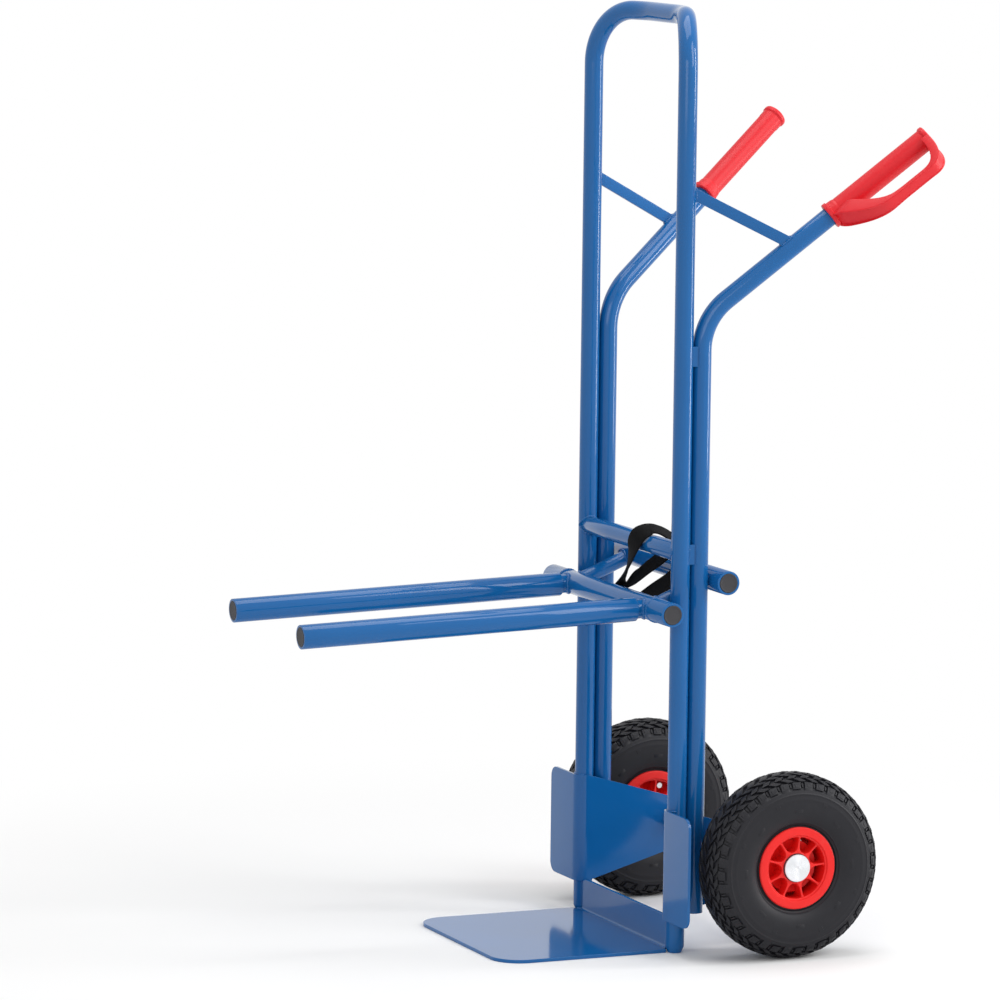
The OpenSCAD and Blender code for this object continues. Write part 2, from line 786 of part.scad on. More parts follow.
// Drawn about +Z with the end of the tube at the origin, reaching down into the tube.
module plug() {
    translate([0, 0, -plug_depth]) cylinder(r = stub_r, h = plug_depth);
    cylinder(r1 = stub_r, r2 = stub_r - plug_t, h = plug_t);
}

module fork_bar_plugs() {
    color(rubber_black) for (side = [LEFT, RIGHT]) mirrored(side) {
        along_x(front_bar_half - plug_t, 0, front_bar_y, fork_z) plug();
        along_x(rear_bar_half - plug_t, 0, rear_bar_y, fork_top_z) plug();
    }
}

module fork_arm_plugs() {
    color(rubber_black) for (side = [LEFT, RIGHT]) mirrored(side)
        on_arm() translate([0, 0, arm_start + arm_len - plug_t]) plug();
}

// ---- strap ----

// The keeper on the strap behind the crossbar: its place from the crossbar's centre, the way the strap runs
// through it and the way the strap's width lies.
keeper_at = [66, 28, -9.8];
keeper_along = unit([0.72, 0.38, 0.58]);
keeper_across = unit([0.686, -0.263, -0.679]);
keeper_out = cross(keeper_along, keeper_across);
ply_pitch = strap_t + 0.3;
function at_keeper(along, out) = [keeper_at + along * keeper_along + out * keeper_out, keeper_across];

// Route of the strap's middle line round the crossbar, from the crossbar's centre, each point with the
// direction of the band's width.
strap_loop = [
    [[75.6, 26, 9.2], [0.8, -0.5, -0.33]], [[70.2, 15, 17], [0.84, -0.45, -0.32]],
    [[66.1, 6, 20.8], [0.83, -0.45, -0.32]], [[62.1, -3, 21.3], [0.87, -0.11, -0.49]],
    [[62.4, -12.4, 18.6], [0.79, 0.17, -0.59]], [[59.2, -20.2, 12], [0.67, 0.42, -0.61]],
    [[51.9, -23.5, -0.5], [0.8, 0.29, -0.52]], [[42.1, -23, -15.3], [0.73, -0.08, -0.68]],
    [[25.3, -19, -29.8], [0.54, -0.31, -0.78]], [[8.6, -14, -41.5], [0.42, -0.5, -0.72]],
    [[-22.8, -6, -57.6], [0.3, -0.75, -0.55]], [[-45.8, -0.5, -71], [0.14, -0.87, -0.47]],
    [[-44.7, 3, -76.8], [0.2, -0.85, -0.5]], [[-23.9, 2, -67.4], [0.3, -0.62, -0.7]],
    [[-2.1, 0.5, -58.4], [0.45, -0.45, -0.74]], [[21.8, -2, -50.2], [0.57, -0.38, -0.73]],
    [[33.8, 4, -40.1], [0.75, -0.25, -0.61]], [[40.3, 11, -32.5], [0.82, -0.16, -0.55]],
    [[46.5, 18, -25.2], [0.73, -0.2, -0.66]], at_keeper(-10, 0), at_keeper(-7, 0), at_keeper(7, 0),
    [[75, 32, 0], [0.7, -0.36, -0.62]], [[76.8, 30.6, 5.2], [0.76, -0.47, -0.44]]];
// Route of the hanging tail, from inside the keeper to its end.
strap_tail = [
    at_keeper(-7, ply_pitch), at_keeper(7, ply_pitch), [[74.1, 37.1, -5.2], [0.69, -0.3, -0.66]],
    [[79.5, 41.2, -6.5], [0.72, -0.5, -0.45]], [[84, 43, -12], [0.8, -0.5, -0.1]],
    [[86, 41, -21], [0.88, -0.3, 0.1]], [[85, 36.5, -31], [0.93, 0, 0.05]],
    [[81.5, 31.5, -40], [0.9, 0.2, -0.3]], [[77.8, 27.9, -46.4], [0.75, 0.25, -0.55]],
    [[72.8, 24, -52.7], [0.6, 0.22, -0.77]], [[61, 19, -60.5], [0.51, 0.12, -0.85]],
    [[47, 14, -69.4], [0.51, 0.14, -0.85]], [[32.8, 9, -78.9], [0.53, 0.13, -0.84]],
    [[20.3, 4, -88], [0.55, 0.09, -0.83]], [[5.5, 0, -97.7], [0.54, 0.04, -0.84]]];

function unit(v) = v / norm(v);
// Direction of the route at point i.
function heading(route, i, closed) = let (n = len(route),
    a = closed ? (i + n - 1) % n : max(i - 1, 0), b = closed ? (i + 1) % n : min(i + 1, n - 1))
    unit(route[b][0] - route[a][0]);
// The four corners of the band at point i.
function band_corners(route, i, closed) = let (p = route[i][0], t = heading(route, i, closed),
    w0 = route[i][1], w = unit(w0 - (w0 * t) * t), n = cross(t, w), a = strap_w / 2 * w, b = strap_t / 2 * n)
    [p - a - b, p + a - b, p + a + b, p - a + b];

module band(route, closed) {
    n = len(route);
    spans = closed ? n : n - 1;
    points = [for (i = [0 : n - 1]) each band_corners(route, i, closed)];
    sides = [for (i = [0 : spans - 1], k = [0 : 3]) let (a = 4 * i + k, b = 4 * i + (k + 1) % 4,
        c = 4 * ((i + 1) % n) + k, d = 4 * ((i + 1) % n) + (k + 1) % 4) each [[a, b, d], [a, d, c]]];
    last = 4 * n - 4;
    ends = closed ? [] : [[2, 1, 0], [3, 2, 0], [last, last + 1, last + 2], [last, last + 2, last + 3]];
    polyhedron(points, concat(sides, ends));
}

module strap() {
    color(rubber_black) translate([0, upright_y, crossbar_z]) {
        band(strap_loop, true);
        band(strap_tail, false);
    }
}

// A metal keeper that holds the loop and the tail together.
module strap_keeper() {
    slot = [strap_w + 0.4, strap_t + ply_pitch + 0.4, keeper_len + 2];
    turn = [atan2(keeper_out.z, keeper_along.z), asin(-keeper_across.z),
        atan2(keeper_across.y, keeper_across.x)];
    color(zinc) translate([0, upright_y, crossbar_z] + at_keeper(0, ply_pitch / 2)[0]) rotate(turn)
        difference() {
            cube(slot + [2 * keeper_wall, 2 * keeper_wall, -2], center = true);
            cube(slot, center = true);
        }
}

main_frame_tube();
handle_tube(LEFT);  // handle_tube_left
handle_tube(RIGHT);  // handle_tube_right
tube_spacers();
brace(LEFT);  // brace_left
brace(RIGHT);  // brace_right
mid_crossbar();
toe_plate();
axle_bracket(LEFT);  // axle_bracket_left
axle_bracket(RIGHT);  // axle_bracket_right
axle_tube();
axle();
axle_washers();
hub_seals();
hub_cap(LEFT);  // hub_cap_left
hub_cap(RIGHT);  // hub_cap_right
grip(LEFT);  // grip_left
grip(RIGHT);  // grip_right
strap();
strap_keeper();
tyre(LEFT);  // tyre_left
inner_tube(LEFT);  // inner_tube_left
valve(LEFT);  // valve_left
rim_outer(LEFT);  // rim_outer_left
rim_inner(LEFT);  // rim_inner_left
rim_screws(LEFT);  // rim_screws_left
hub_bearings(LEFT);  // hub_bearings_left
tyre(RIGHT);  // tyre_right
inner_tube(RIGHT);  // inner_tube_right
valve(RIGHT);  // valve_right
rim_outer(RIGHT);  // rim_outer_right
rim_inner(RIGHT);  // rim_inner_right
rim_screws(RIGHT);  // rim_screws_right
hub_bearings(RIGHT);  // hub_bearings_right
fork_front_bar();
fork_rear_bar();
fork_link(LEFT);  // fork_link_left
fork_link(RIGHT);  // fork_link_right
fork_stub(LEFT);  // fork_stub_left
fork_stub(RIGHT);  // fork_stub_right
fork_arm(LEFT);  // fork_arm_left
fork_arm(RIGHT);  // fork_arm_right
fork_bar_plugs();
fork_arm_plugs();
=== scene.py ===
import json
import math

import bpy
import numpy as np
from mathutils import Matrix, Vector


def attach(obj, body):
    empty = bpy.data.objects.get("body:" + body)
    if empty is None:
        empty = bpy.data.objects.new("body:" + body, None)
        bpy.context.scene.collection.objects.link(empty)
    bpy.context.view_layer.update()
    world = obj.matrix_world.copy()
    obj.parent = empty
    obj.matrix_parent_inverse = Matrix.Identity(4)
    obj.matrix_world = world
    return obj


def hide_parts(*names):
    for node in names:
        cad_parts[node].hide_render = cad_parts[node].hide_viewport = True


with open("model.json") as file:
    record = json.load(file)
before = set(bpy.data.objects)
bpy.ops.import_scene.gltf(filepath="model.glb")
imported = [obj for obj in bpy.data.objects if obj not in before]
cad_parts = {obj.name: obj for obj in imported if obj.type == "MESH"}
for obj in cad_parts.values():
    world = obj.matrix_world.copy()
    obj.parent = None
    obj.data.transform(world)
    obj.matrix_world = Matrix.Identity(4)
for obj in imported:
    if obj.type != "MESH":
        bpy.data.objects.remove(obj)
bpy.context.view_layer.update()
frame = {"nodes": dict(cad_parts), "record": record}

NODES = frame["nodes"]
TAU = 2 * math.pi
MM = 0.001

# Sizes of the part's own model, in millimetres.
TUBE_R, TUBE_WALL = 13.45, 2.3
UPRIGHT_X, UPRIGHT_Y = 158.5, 20.0
FRAME_H, LOOP_R, LOOP_SWEEP, LOOP_CORNER_X, LOOP_CORNER_R = 1322.0, 78.0, 21.3, 59.4, 120.0
FOOT_H, FOOT_INSET = 9.0, 3.5
CROSSBAR_Z = 566.0
HANDLE_Y = UPRIGHT_Y + 2 * TUBE_R + 0.9
HANDLE_FOOT_Z, HANDLE_CORNER_Z, HANDLE_BEND_R = 55.0, 892.0, 90.0
HANDLE_RISE, HANDLE_SPLAY = 39.0, 15.6
GRIP_START, GRIP_LEN, GRIP_END_WALL = 230.0, 174.0, 5.0
BRACE_Z, BRACE_FALL, BRACE_W, BRACE_T, BRACE_TURN = 1072.0, 26.5, 16.0, 5.0, 14.5
TOE_W, TOE_LEN, TOE_T, TOE_CORNER_R = 320.0, 264.0, 5.0, 42.0
TOE_UPSTAND, TOE_HEEL, TOE_BEND_R = 50.0, 10.0, 3.0
BRACKET_T, BRACKET_LOW, BRACKET_HIGH, WING_X, WING_R = 4.0, 46.5, 202.0, 237.0, 16.0
AXLE_Y, AXLE_Z, WHEEL_X = 155.0, 131.0, 239.0
BACK_Y, BACK_LOW, BACK_HIGH, BACK_R = 182.0, 91.0, 157.0, 12.0
BAR_R, BAR_WALL = 16.85, 3.2
FRONT_BAR_Y, FORK_Z = UPRIGHT_Y - TUBE_R - 2 - BAR_R, 486.0
REAR_BAR_Y, FORK_TOP_Z = HANDLE_Y + TUBE_R + 2 + BAR_R, 524.5
FRONT_HALF, REAR_HALF, ARM_X, ARM_LEN, ARM_STEP, ARM_DROOP = 206.0, 190.0, 130.0, 500.0, 8.0, 1.7
LINK_R, STUB_R = 10.7, BAR_R - BAR_WALL - 0.15
PLUG_T, RING_WELD_X = 0.6, 152.0
AXLE_TUBE_R, AXLE_TUBE_WALL, AXLE_TUBE_HALF = 15.0, 4.85, 207.35
SPACER_LOW_Z, SPACER_HIGH_Z, SPACER_H = 550.0, 827.0, 28.0


# ---- shader nodes ----

class Wire:
    """A shader socket that takes part in Python arithmetic."""

    def __init__(self, graph, socket):
        self.graph, self.socket = graph, socket

    def maths(self, operation, *others, clamp=False):
        return self.graph.add("ShaderNodeMath", {"operation": operation, "use_clamp": clamp}, [self, *others])

    def __add__(self, other):
        return self.maths("ADD", other)

    def __mul__(self, other):
        return self.maths("MULTIPLY", other)

    __radd__, __rmul__ = __add__, __mul__

    def sine(self):
        return self.maths("SINE")

    def clamped(self):
        return self.maths("ADD", 0.0, clamp=True)

    def between(self, low, high, out_low=0.0, out_high=1.0):
        """Smooth step from out_low at low to out_high at high."""
        return self.graph.add("ShaderNodeMapRange", {"interpolation_type": "SMOOTHSTEP"},
                              [self, low, high, out_low, out_high], "Result")


class Graph:
    """The node tree of one material or world."""

    def __init__(self, owner):
        owner.use_nodes = True
        self.tree = owner.node_tree
        self.tree.nodes.clear()

    def add(self, kind, settings=None, inputs=None, out=0):
        """A new node with its settings and the values or links of its sockets, as one of its outputs."""
        node = self.tree.nodes.new(kind)
        for key, value in (settings or {}).items():
            setattr(node, key, value)
        pairs = inputs.items() if isinstance(inputs, dict) else enumerate(inputs or [])
        for key, value in pairs:
            if isinstance(value, Wire):
                self.tree.links.new(value.socket, node.inputs[key])
            else:
                socket = node.inputs[key]
                if socket.type == "RGBA" and len(value) == 3:
                    value = (*value, 1)
                socket.default_value = value
        return Wire(self, node.outputs[out]) if len(node.outputs) else None

    def noise(self, at, scale, detail, rough=0.5):
        return self.add("ShaderNodeTexNoise", {}, {"Vector": at, "Scale": scale, "Detail": detail,
                                                   "Roughness": rough})

    def place(self):
        return self.add("ShaderNodeTexCoord", out="Object")

    def blend(self, factor, first, second):
        return self.add("ShaderNodeMix", {"data_type": "RGBA"}, {0: factor, 6: first, 7: second}, 2)

    def bump(self, height, strength, distance):
        return self.add("ShaderNodeBump", {}, {"Height": height, "Strength": strength, "Distance": distance})

    def surface(self, **values):
        """The main shader, with the names of its sockets as keywords, joined to the output."""
        shader = self.add("ShaderNodeBsdfPrincipled", {}, {k.replace("_", " "): v for k, v in values.items()})
        self.add("ShaderNodeOutputMaterial", {}, {"Surface": shader})
        return shader


def new_material(name):
    """A material and the graph that draws it. Each finish below gives back its material."""
    material = bpy.data.materials.new(name)
    return material, Graph(material)


def blue_coat():
    material, g = new_material("blue_powder_coat")
    at = g.place()
    cloud = g.noise(at, scale=9, detail=4)
    peel = g.noise(at, scale=420, detail=2)
    scuff = g.noise(at, scale=140, detail=8, rough=0.7).between(0.60, 0.78)
    colour = g.blend(cloud, (0.004, 0.100, 0.310), (0.007, 0.118, 0.355))
    colour = g.blend(scuff * 0.10, colour, (0.05, 0.18, 0.42))
    g.surface(Base_Color=colour, Roughness=0.08 + 0.04 * cloud + 0.08 * scuff, IOR=1.40,
              Coat_Weight=0.04, Coat_Roughness=0.06, Normal=g.bump(peel, strength=0.02, distance=0.0002))
    return material


def red_grip():
    material, g = new_material("red_grip_plastic")
    at = g.place()
    cloud = g.noise(at, scale=14, detail=4)
    grain = g.noise(at, scale=900, detail=3)
    scuff = g.noise(at, scale=40, detail=6, rough=0.6).between(0.60, 0.80)
    colour = g.blend(cloud, (0.60, 0.006, 0.014), (0.70, 0.012, 0.020))
    colour = g.blend(scuff * 0.08, colour, (0.75, 0.10, 0.07))
    g.surface(Base_Color=colour, Roughness=0.38 + 0.08 * cloud + 0.08 * scuff, IOR=1.40,
              Normal=g.bump(grain, strength=0.02, distance=0.0001))
    return material


def red_rim():
    material, g = new_material("red_rim_plastic")
    at = g.place()
    cloud = g.noise(at, scale=18, detail=4)
    grain = g.noise(at, scale=1100, detail=3)
    dust = g.noise(at, scale=45, detail=7, rough=0.65).between(0.55, 0.75)
    colour = g.blend(cloud, (0.74, 0.008, 0.008), (0.84, 0.016, 0.012))
    colour = g.blend(dust * 0.10, colour, (0.55, 0.20, 0.16))
    g.surface(Base_Color=colour, Roughness=0.34 + 0.12 * cloud + 0.1 * dust, IOR=1.40,
              Normal=g.bump(grain, strength=0.05, distance=0.0002))
    return material


def tyre_rubber():
    material, g = new_material("tyre_rubber")
    at = g.place()
    cloud = g.noise(at, scale=12, detail=5)
    grain = g.noise(at, scale=700, detail=4, rough=0.6)
    dust = g.noise(at, scale=70, detail=8, rough=0.7).between(0.5, 0.8)
    colour = g.blend(cloud, (0.006, 0.006, 0.009), (0.012, 0.012, 0.016))
    colour = g.blend(dust * 0.30, colour, (0.024, 0.024, 0.028))
    g.surface(Base_Color=colour, Roughness=0.42 + 0.16 * cloud + 0.12 * dust, IOR=1.36,
              Normal=g.bump(grain, strength=0.10, distance=0.0004))
    return material


def inner_rubber():
    material, g = new_material("inner_tube_rubber")
    at = g.place()
    cloud = g.noise(at, scale=30, detail=5)
    grain = g.noise(at, scale=500, detail=3)
    g.surface(Base_Color=g.blend(cloud, (0.014, 0.014, 0.015), (0.03, 0.03, 0.032)),
              Roughness=0.5 + 0.2 * cloud, Normal=g.bump(grain, strength=0.2, distance=0.0004))
    return material


def zinc_plate():
    material, g = new_material("zinc_plated_steel")
    at = g.place()
    cloud = g.noise(at, scale=60, detail=5)
    stain = g.noise(at, scale=160, detail=7, rough=0.7).between(0.6, 0.75)
    colour = g.blend(cloud, (0.70, 0.72, 0.75), (0.84, 0.85, 0.87))
    colour = g.blend(stain * 0.3, colour, (0.42, 0.40, 0.36))
    g.surface(Base_Color=colour, Metallic=1.0, Roughness=0.22 + 0.16 * cloud + 0.18 * stain,
              Normal=g.bump(g.noise(at, scale=1500, detail=3), strength=0.10, distance=0.0002))
    return material


def black_plastic():
    material, g = new_material("black_moulded_plastic")
    at = g.place()
    cloud = g.noise(at, scale=40, detail=4)
    grain = g.noise(at, scale=1300, detail=4, rough=0.6)
    g.surface(Base_Color=g.blend(cloud, (0.018, 0.018, 0.022), (0.034, 0.033, 0.038)),
              Roughness=0.55 + 0.15 * cloud, Normal=g.bump(grain, strength=0.35, distance=0.0004))
    return material


WARP_RIBS, WEFT_PER_METRE = 11, 520


def webbing():
    """Woven strap: ribs across the band and slanted twill along it, from the band's own length and width."""
    material, g = new_material("black_webbing")
    split = g.add("ShaderNodeSeparateXYZ", {}, [g.add("ShaderNodeTexCoord", out="UV")])
    along, across = split, Wire(g, split.socket.node.outputs[1])
    warp = (across * (TAU * WARP_RIBS)).sine()
    weft = (along * (TAU * WEFT_PER_METRE) + warp * 1.4).sine()
    fuzz = g.noise(g.place(), scale=1600, detail=4, rough=0.7)
    height = weft * 0.5 + warp * 0.35 + fuzz * 0.5
    colour = g.blend((weft * 0.5 + 0.5) * fuzz, (0.0015, 0.0015, 0.002), (0.008, 0.008, 0.009))
    g.surface(Base_Color=colour, Roughness=0.80 + 0.15 * fuzz, Specular_IOR_Level=0.2,
              Normal=g.bump(height, strength=0.6, distance=0.0005))
    return material


BLUE, GRIP_RED, RIM_RED = blue_coat(), red_grip(), red_rim()
TYRE, TUBE_RUBBER, ZINC, BLACK, WEB = tyre_rubber(), inner_rubber(), zinc_plate(), black_plastic(), webbing()
SLOT_MATERIAL = {"blue_paint": BLUE, "grip_plastic": GRIP_RED, "rim_plastic": RIM_RED, "tyre_rubber": TYRE,
                 "tube_rubber": TUBE_RUBBER, "zinc_steel": ZINC, "black_plastic": BLACK, "webbing": WEB}

for entry in frame["record"]["subparts"]:
    node = NODES[entry["node"]]
    node.data.materials.clear()
    node.data.materials.append(SLOT_MATERIAL[entry["material_slot"]])


# ---- meshes ----

def new_piece(name, points, faces, body, slot, hides=(), sharp=40, uvs=None):
    """A mesh piece from points in millimetres. It rides on a body and may stand for CAD nodes."""
    mesh = bpy.data.meshes.new(name)
    metres = np.asarray(points, float) * MM
    mesh.from_pydata([tuple(p) for p in metres], [], [list(map(int, f)) for f in faces])
    mesh.validate()
    if uvs is not None:
        layer = mesh.uv_layers.new(name="band")
        for loop in mesh.loops:
            layer.data[loop.index].uv = uvs[loop.vertex_index]
    mesh.shade_smooth()
    mesh.set_sharp_from_angle(angle=math.radians(sharp))
    piece = bpy.data.objects.new(name, mesh)
    bpy.context.scene.collection.objects.link(piece)
    mesh.materials.append(SLOT_MATERIAL[slot])
    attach(piece, body)
    if hides:
        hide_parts(*hides)
    return piece


def unit(v):
    v = np.asarray(v, float)
    return v / np.linalg.norm(v)


def rounded_path(corners, radii, turn):
    """A polyline through the corners with an arc at each inner one, in steps of about turn degrees."""
    corners = [np.asarray(c, float) for c in corners]
    out = [corners[0]]
    for before, here, after, radius in zip(corners, corners[1:], corners[2:], radii):
        a, b = unit(before - here), unit(after - here)
        angle = math.pi - math.acos(np.clip(a @ b, -1, 1))
        tangent = radius * math.tan(angle / 2)
        start, centre_way = here + a * tangent, unit(a + b)
        centre = here + centre_way * (radius / math.cos(angle / 2))
        x = unit(start - centre)
        y = unit(-a - (-a @ x) * x)
        count = max(2, int(math.degrees(angle) / turn))
        out += [centre + radius * (math.cos(t) * x + math.sin(t) * y)
                for t in np.linspace(0, angle, count + 1)]
    return out + [corners[-1]]


def frames_along(path, closed=False):
    """Tangent and two steady normals at each point."""
    path = np.asarray(path, float)
    if closed:
        tangents = np.roll(path, -1, 0) - np.roll(path, 1, 0)
    else:
        tangents = np.gradient(path, axis=0)
    tangents /= np.linalg.norm(tangents, axis=1)[:, None]
    seed = np.eye(3)[np.argmin(np.abs(tangents[0]))]
    normal = unit(np.cross(tangents[0], seed))
    normals = []
    for t in tangents:
        normal = unit(normal - (normal @ t) * t)
        normals.append(normal)
    normals = np.array(normals)
    return tangents, normals, np.cross(tangents, normals)


def loft(rings, closed=False):
    """Faces between rings of equal length, with a face at each end unless the way is closed."""
    rings = [np.asarray(r, float) for r in rings]
    n, m = len(rings[0]), len(rings)
    faces = []
    for i in range(m if closed else m - 1):
        a, b = i * n, ((i + 1) % m) * n
        faces += [(a + j, a + (j + 1) % n, b + (j + 1) % n, b + j) for j in range(n)]
    if not closed:
        faces += [tuple(range(n))[::-1], tuple(range((m - 1) * n, m * n))]
    return np.concatenate(rings), faces


def join_meshes(*parts):
    """Several meshes as one."""
    points, faces, base = [], [], 0
    for p, f in parts:
        points.append(np.asarray(p, float))
        faces += [tuple(base + i for i in face) for face in f]
        base += len(p)
    return np.concatenate(points), faces


BORE_DEPTH, TUBE_SIDES = 30.0, 64


def open_end(radius, wall):
    """Rings, from inside outward, of a tube's cut end: radius and distance from the end."""
    return [(radius - wall, BORE_DEPTH), (radius - wall, 0.3), (radius - wall + 0.3, 0), (radius - 0.5, 0),
            (radius - 0.15, 0.15), (radius, 0.5)]


def circle(count):
    """Cosine and sine of evenly spaced angles."""
    return [(math.cos(a), math.sin(a)) for a in np.arange(count) / count * TAU]


def tube(path, radius, end_rings):
    """A round tube along a path, with the given rings at both ends."""
    path = np.asarray(path, float)
    t, u, v = frames_along(path)
    around = circle(TUBE_SIDES)

    def ring(i, r, shift=0.0):
        return [path[i] + shift * t[i] + r * (c * u[i] + s * v[i]) for c, s in around]

    last = len(path) - 1
    return loft([ring(0, r, s) for r, s in end_rings] + [ring(i, radius) for i in range(1, last)] +
                [ring(last, r, -s) for r, s in reversed(end_rings)])


def open_tube(path, radius, wall):
    """A round tube whose two ends are cut open."""
    return tube(path, radius, open_end(radius, wall))


def lengths_along(path):
    """Distance of each point from the start of its polyline."""
    return np.concatenate([[0], np.cumsum(np.linalg.norm(np.diff(path, axis=0), axis=1))])


def even_curve(points, count):
    """The given number of points at even distances along a polyline."""
    points = np.asarray(points, float)
    lengths = lengths_along(points)
    at = np.linspace(0, lengths[-1], count)
    return np.stack([np.interp(at, lengths, points[:, k]) for k in range(points.shape[1])], 1)


BEAD_SIDES, BEAD_STEP, RIPPLE_LEN = 10, 0.8, 3.2


def bead_rod(path, radius_at, closed):
    """A round rod whose radius is radius_at(i) at point i, with domed ends when it is open."""
    t, u, v = frames_along(path, closed)
    around = circle(BEAD_SIDES)
    rings = [[p + radius_at(i) * (c * u[i] + s * v[i]) for c, s in around] for i, p in enumerate(path)]
    if not closed:
        for end, way in ((0, -1), (len(path) - 1, 1)):
            r = radius_at(end)
            dome = [[path[end] + way * r * math.sin(k) * t[end] + r * math.cos(k) *
                     (c * u[end] + s * v[end]) for c, s in around] for k in (0.5, 1.0, 1.4)]
            rings = dome[::-1] + rings if way < 0 else rings + dome
    return loft(rings, closed)


def weld(path, size, closed=True, phase=0.0):
    """A weld bead with its row of ripples."""
    path = np.asarray(path, float)
    if closed:
        path = np.vstack([path, path[:1]])
    count = max(4, int(lengths_along(path)[-1] / BEAD_STEP))
    path = even_curve(path, count + 1)

    def ripple(i):
        return size * (1 + 0.10 * math.sin(i * BEAD_STEP * TAU / RIPPLE_LEN + phase) +
                       0.05 * math.sin(i * 0.31 + 2 * phase))

    return bead_rod(path[:-1] if closed else path, ripple, closed)


def meet(origin, way, offsets, point, axis, radius, near=True):
    """Where lines along way, from origin plus each offset, meet a cylinder, on its near or far side."""
    axis, way = unit(axis), unit(way)
    out = []
    for offset in offsets:
        start = np.asarray(origin, float) + offset - np.asarray(point, float)
        d, s = way - (way @ axis) * axis, start - (start @ axis) * axis
        a, b, c = d @ d, 2 * d @ s, s @ s - radius * radius
        disc = max(b * b - 4 * a * c, 0.0)
        k = (-b + (-1 if near else 1) * math.sqrt(disc)) / (2 * a)
        out.append(np.asarray(origin, float) + offset + k * way)
    return out


def round_offsets(way, radius, count=48):
    """Steps from an axis to the points of a circle about it."""
    way = unit(way)
    seed = np.eye(3)[np.argmin(np.abs(way))]
    u = unit(np.cross(way, seed))
    v = np.cross(way, u)
    return [radius * (c * u + s * v) for c, s in circle(count)]


def rounded_rectangle(width, height, corner, step):
    """Outline of a rectangle with round corners, which have a point at each step of degrees."""
    return [(sx * (width / 2 - corner) + corner * math.cos(a),
             sy * (height / 2 - corner) + corner * math.sin(a))
            for sx, sy, turn in ((1, 1, 0), (-1, 1, 90), (-1, -1, 180), (1, -1, 270))
            for a in np.radians(turn + np.arange(0, 91, step))]


def mirrored(points, faces, side):
    """A mesh of the left side, turned over for the right side."""
    if side > 0:
        return points, faces
    return np.asarray(points) * [-1, 1, 1], [tuple(reversed(f)) for f in faces]


SIDES = (("left", 1), ("right", -1))
rise, splay = math.radians(HANDLE_RISE), math.radians(HANDLE_SPLAY)
HANDLE_WAY = np.array([math.cos(rise) * math.sin(splay), math.cos(rise) * math.cos(splay), math.sin(rise)])
HANDLE_CORNER = np.array([UPRIGHT_X, HANDLE_Y, HANDLE_CORNER_Z])


def on_handle(distance):
    """A point on the sloping middle line of the left handle tube, past its corner."""
    return HANDLE_CORNER + distance * HANDLE_WAY


# ---- frame ----

loop_y = UPRIGHT_Y + (UPRIGHT_X - LOOP_CORNER_X) * math.tan(math.radians(LOOP_SWEEP))
loop_z = FRAME_H - TUBE_R
frame_path = rounded_path(
    [(UPRIGHT_X, UPRIGHT_Y, 0), (UPRIGHT_X, UPRIGHT_Y, loop_z), (LOOP_CORNER_X, loop_y, loop_z),
     (-LOOP_CORNER_X, loop_y, loop_z), (-UPRIGHT_X, UPRIGHT_Y, loop_z), (-UPRIGHT_X, UPRIGHT_Y, 0)],
    [LOOP_R, LOOP_CORNER_R, LOOP_CORNER_R, LOOP_R], turn=2.5)
FOOT_R = TUBE_R - FOOT_INSET
foot_bore = FOOT_R - TUBE_WALL
foot_rings = [(foot_bore, 25), (foot_bore, 0.4), (foot_bore + 0.3, 0), (FOOT_R - 0.6, 0),
              (FOOT_R - 0.15, 0.2), (FOOT_R, 0.7), (TUBE_R - 0.2, FOOT_H - 0.6), (TUBE_R, FOOT_H + 0.6)]
new_piece("frame_loop", *tube(frame_path, TUBE_R, foot_rings), "frame", "blue_paint", ["main_frame_tube"])
cross_path = [(x, UPRIGHT_Y, CROSSBAR_Z) for x in (-UPRIGHT_X, -60, 60, UPRIGHT_X)]
new_piece("crossbar", *open_tube(cross_path, TUBE_R, TUBE_WALL), "frame", "blue_paint", ["mid_crossbar"])

fall, brace_turn = math.radians(BRACE_FALL), math.radians(BRACE_TURN)
brace_way = np.array([math.cos(fall) * math.sin(brace_turn), math.cos(fall) * math.cos(brace_turn),
                      -math.sin(fall)])
BRACE_FROM = np.array([UPRIGHT_X, UPRIGHT_Y, BRACE_Z])
level = unit(np.cross(HANDLE_WAY, brace_way))
across_handle = np.cross(level, HANDLE_WAY)
to_handle = (HANDLE_CORNER - BRACE_FROM) @ across_handle / (brace_way @ across_handle)
BRACE_TO = BRACE_FROM + to_handle * brace_way


def flat_bar(start, end, width_way, width, thick, edge):
    """A bar with rounded edges between two points."""
    along = unit(end - start)
    w = unit(width_way - (width_way @ along) * along)
    n = np.cross(along, w)
    section = rounded_rectangle(width, thick, edge, 30)
    return loft([[p + a * w + b * n for a, b in section] for p in np.linspace(start, end, 5)])


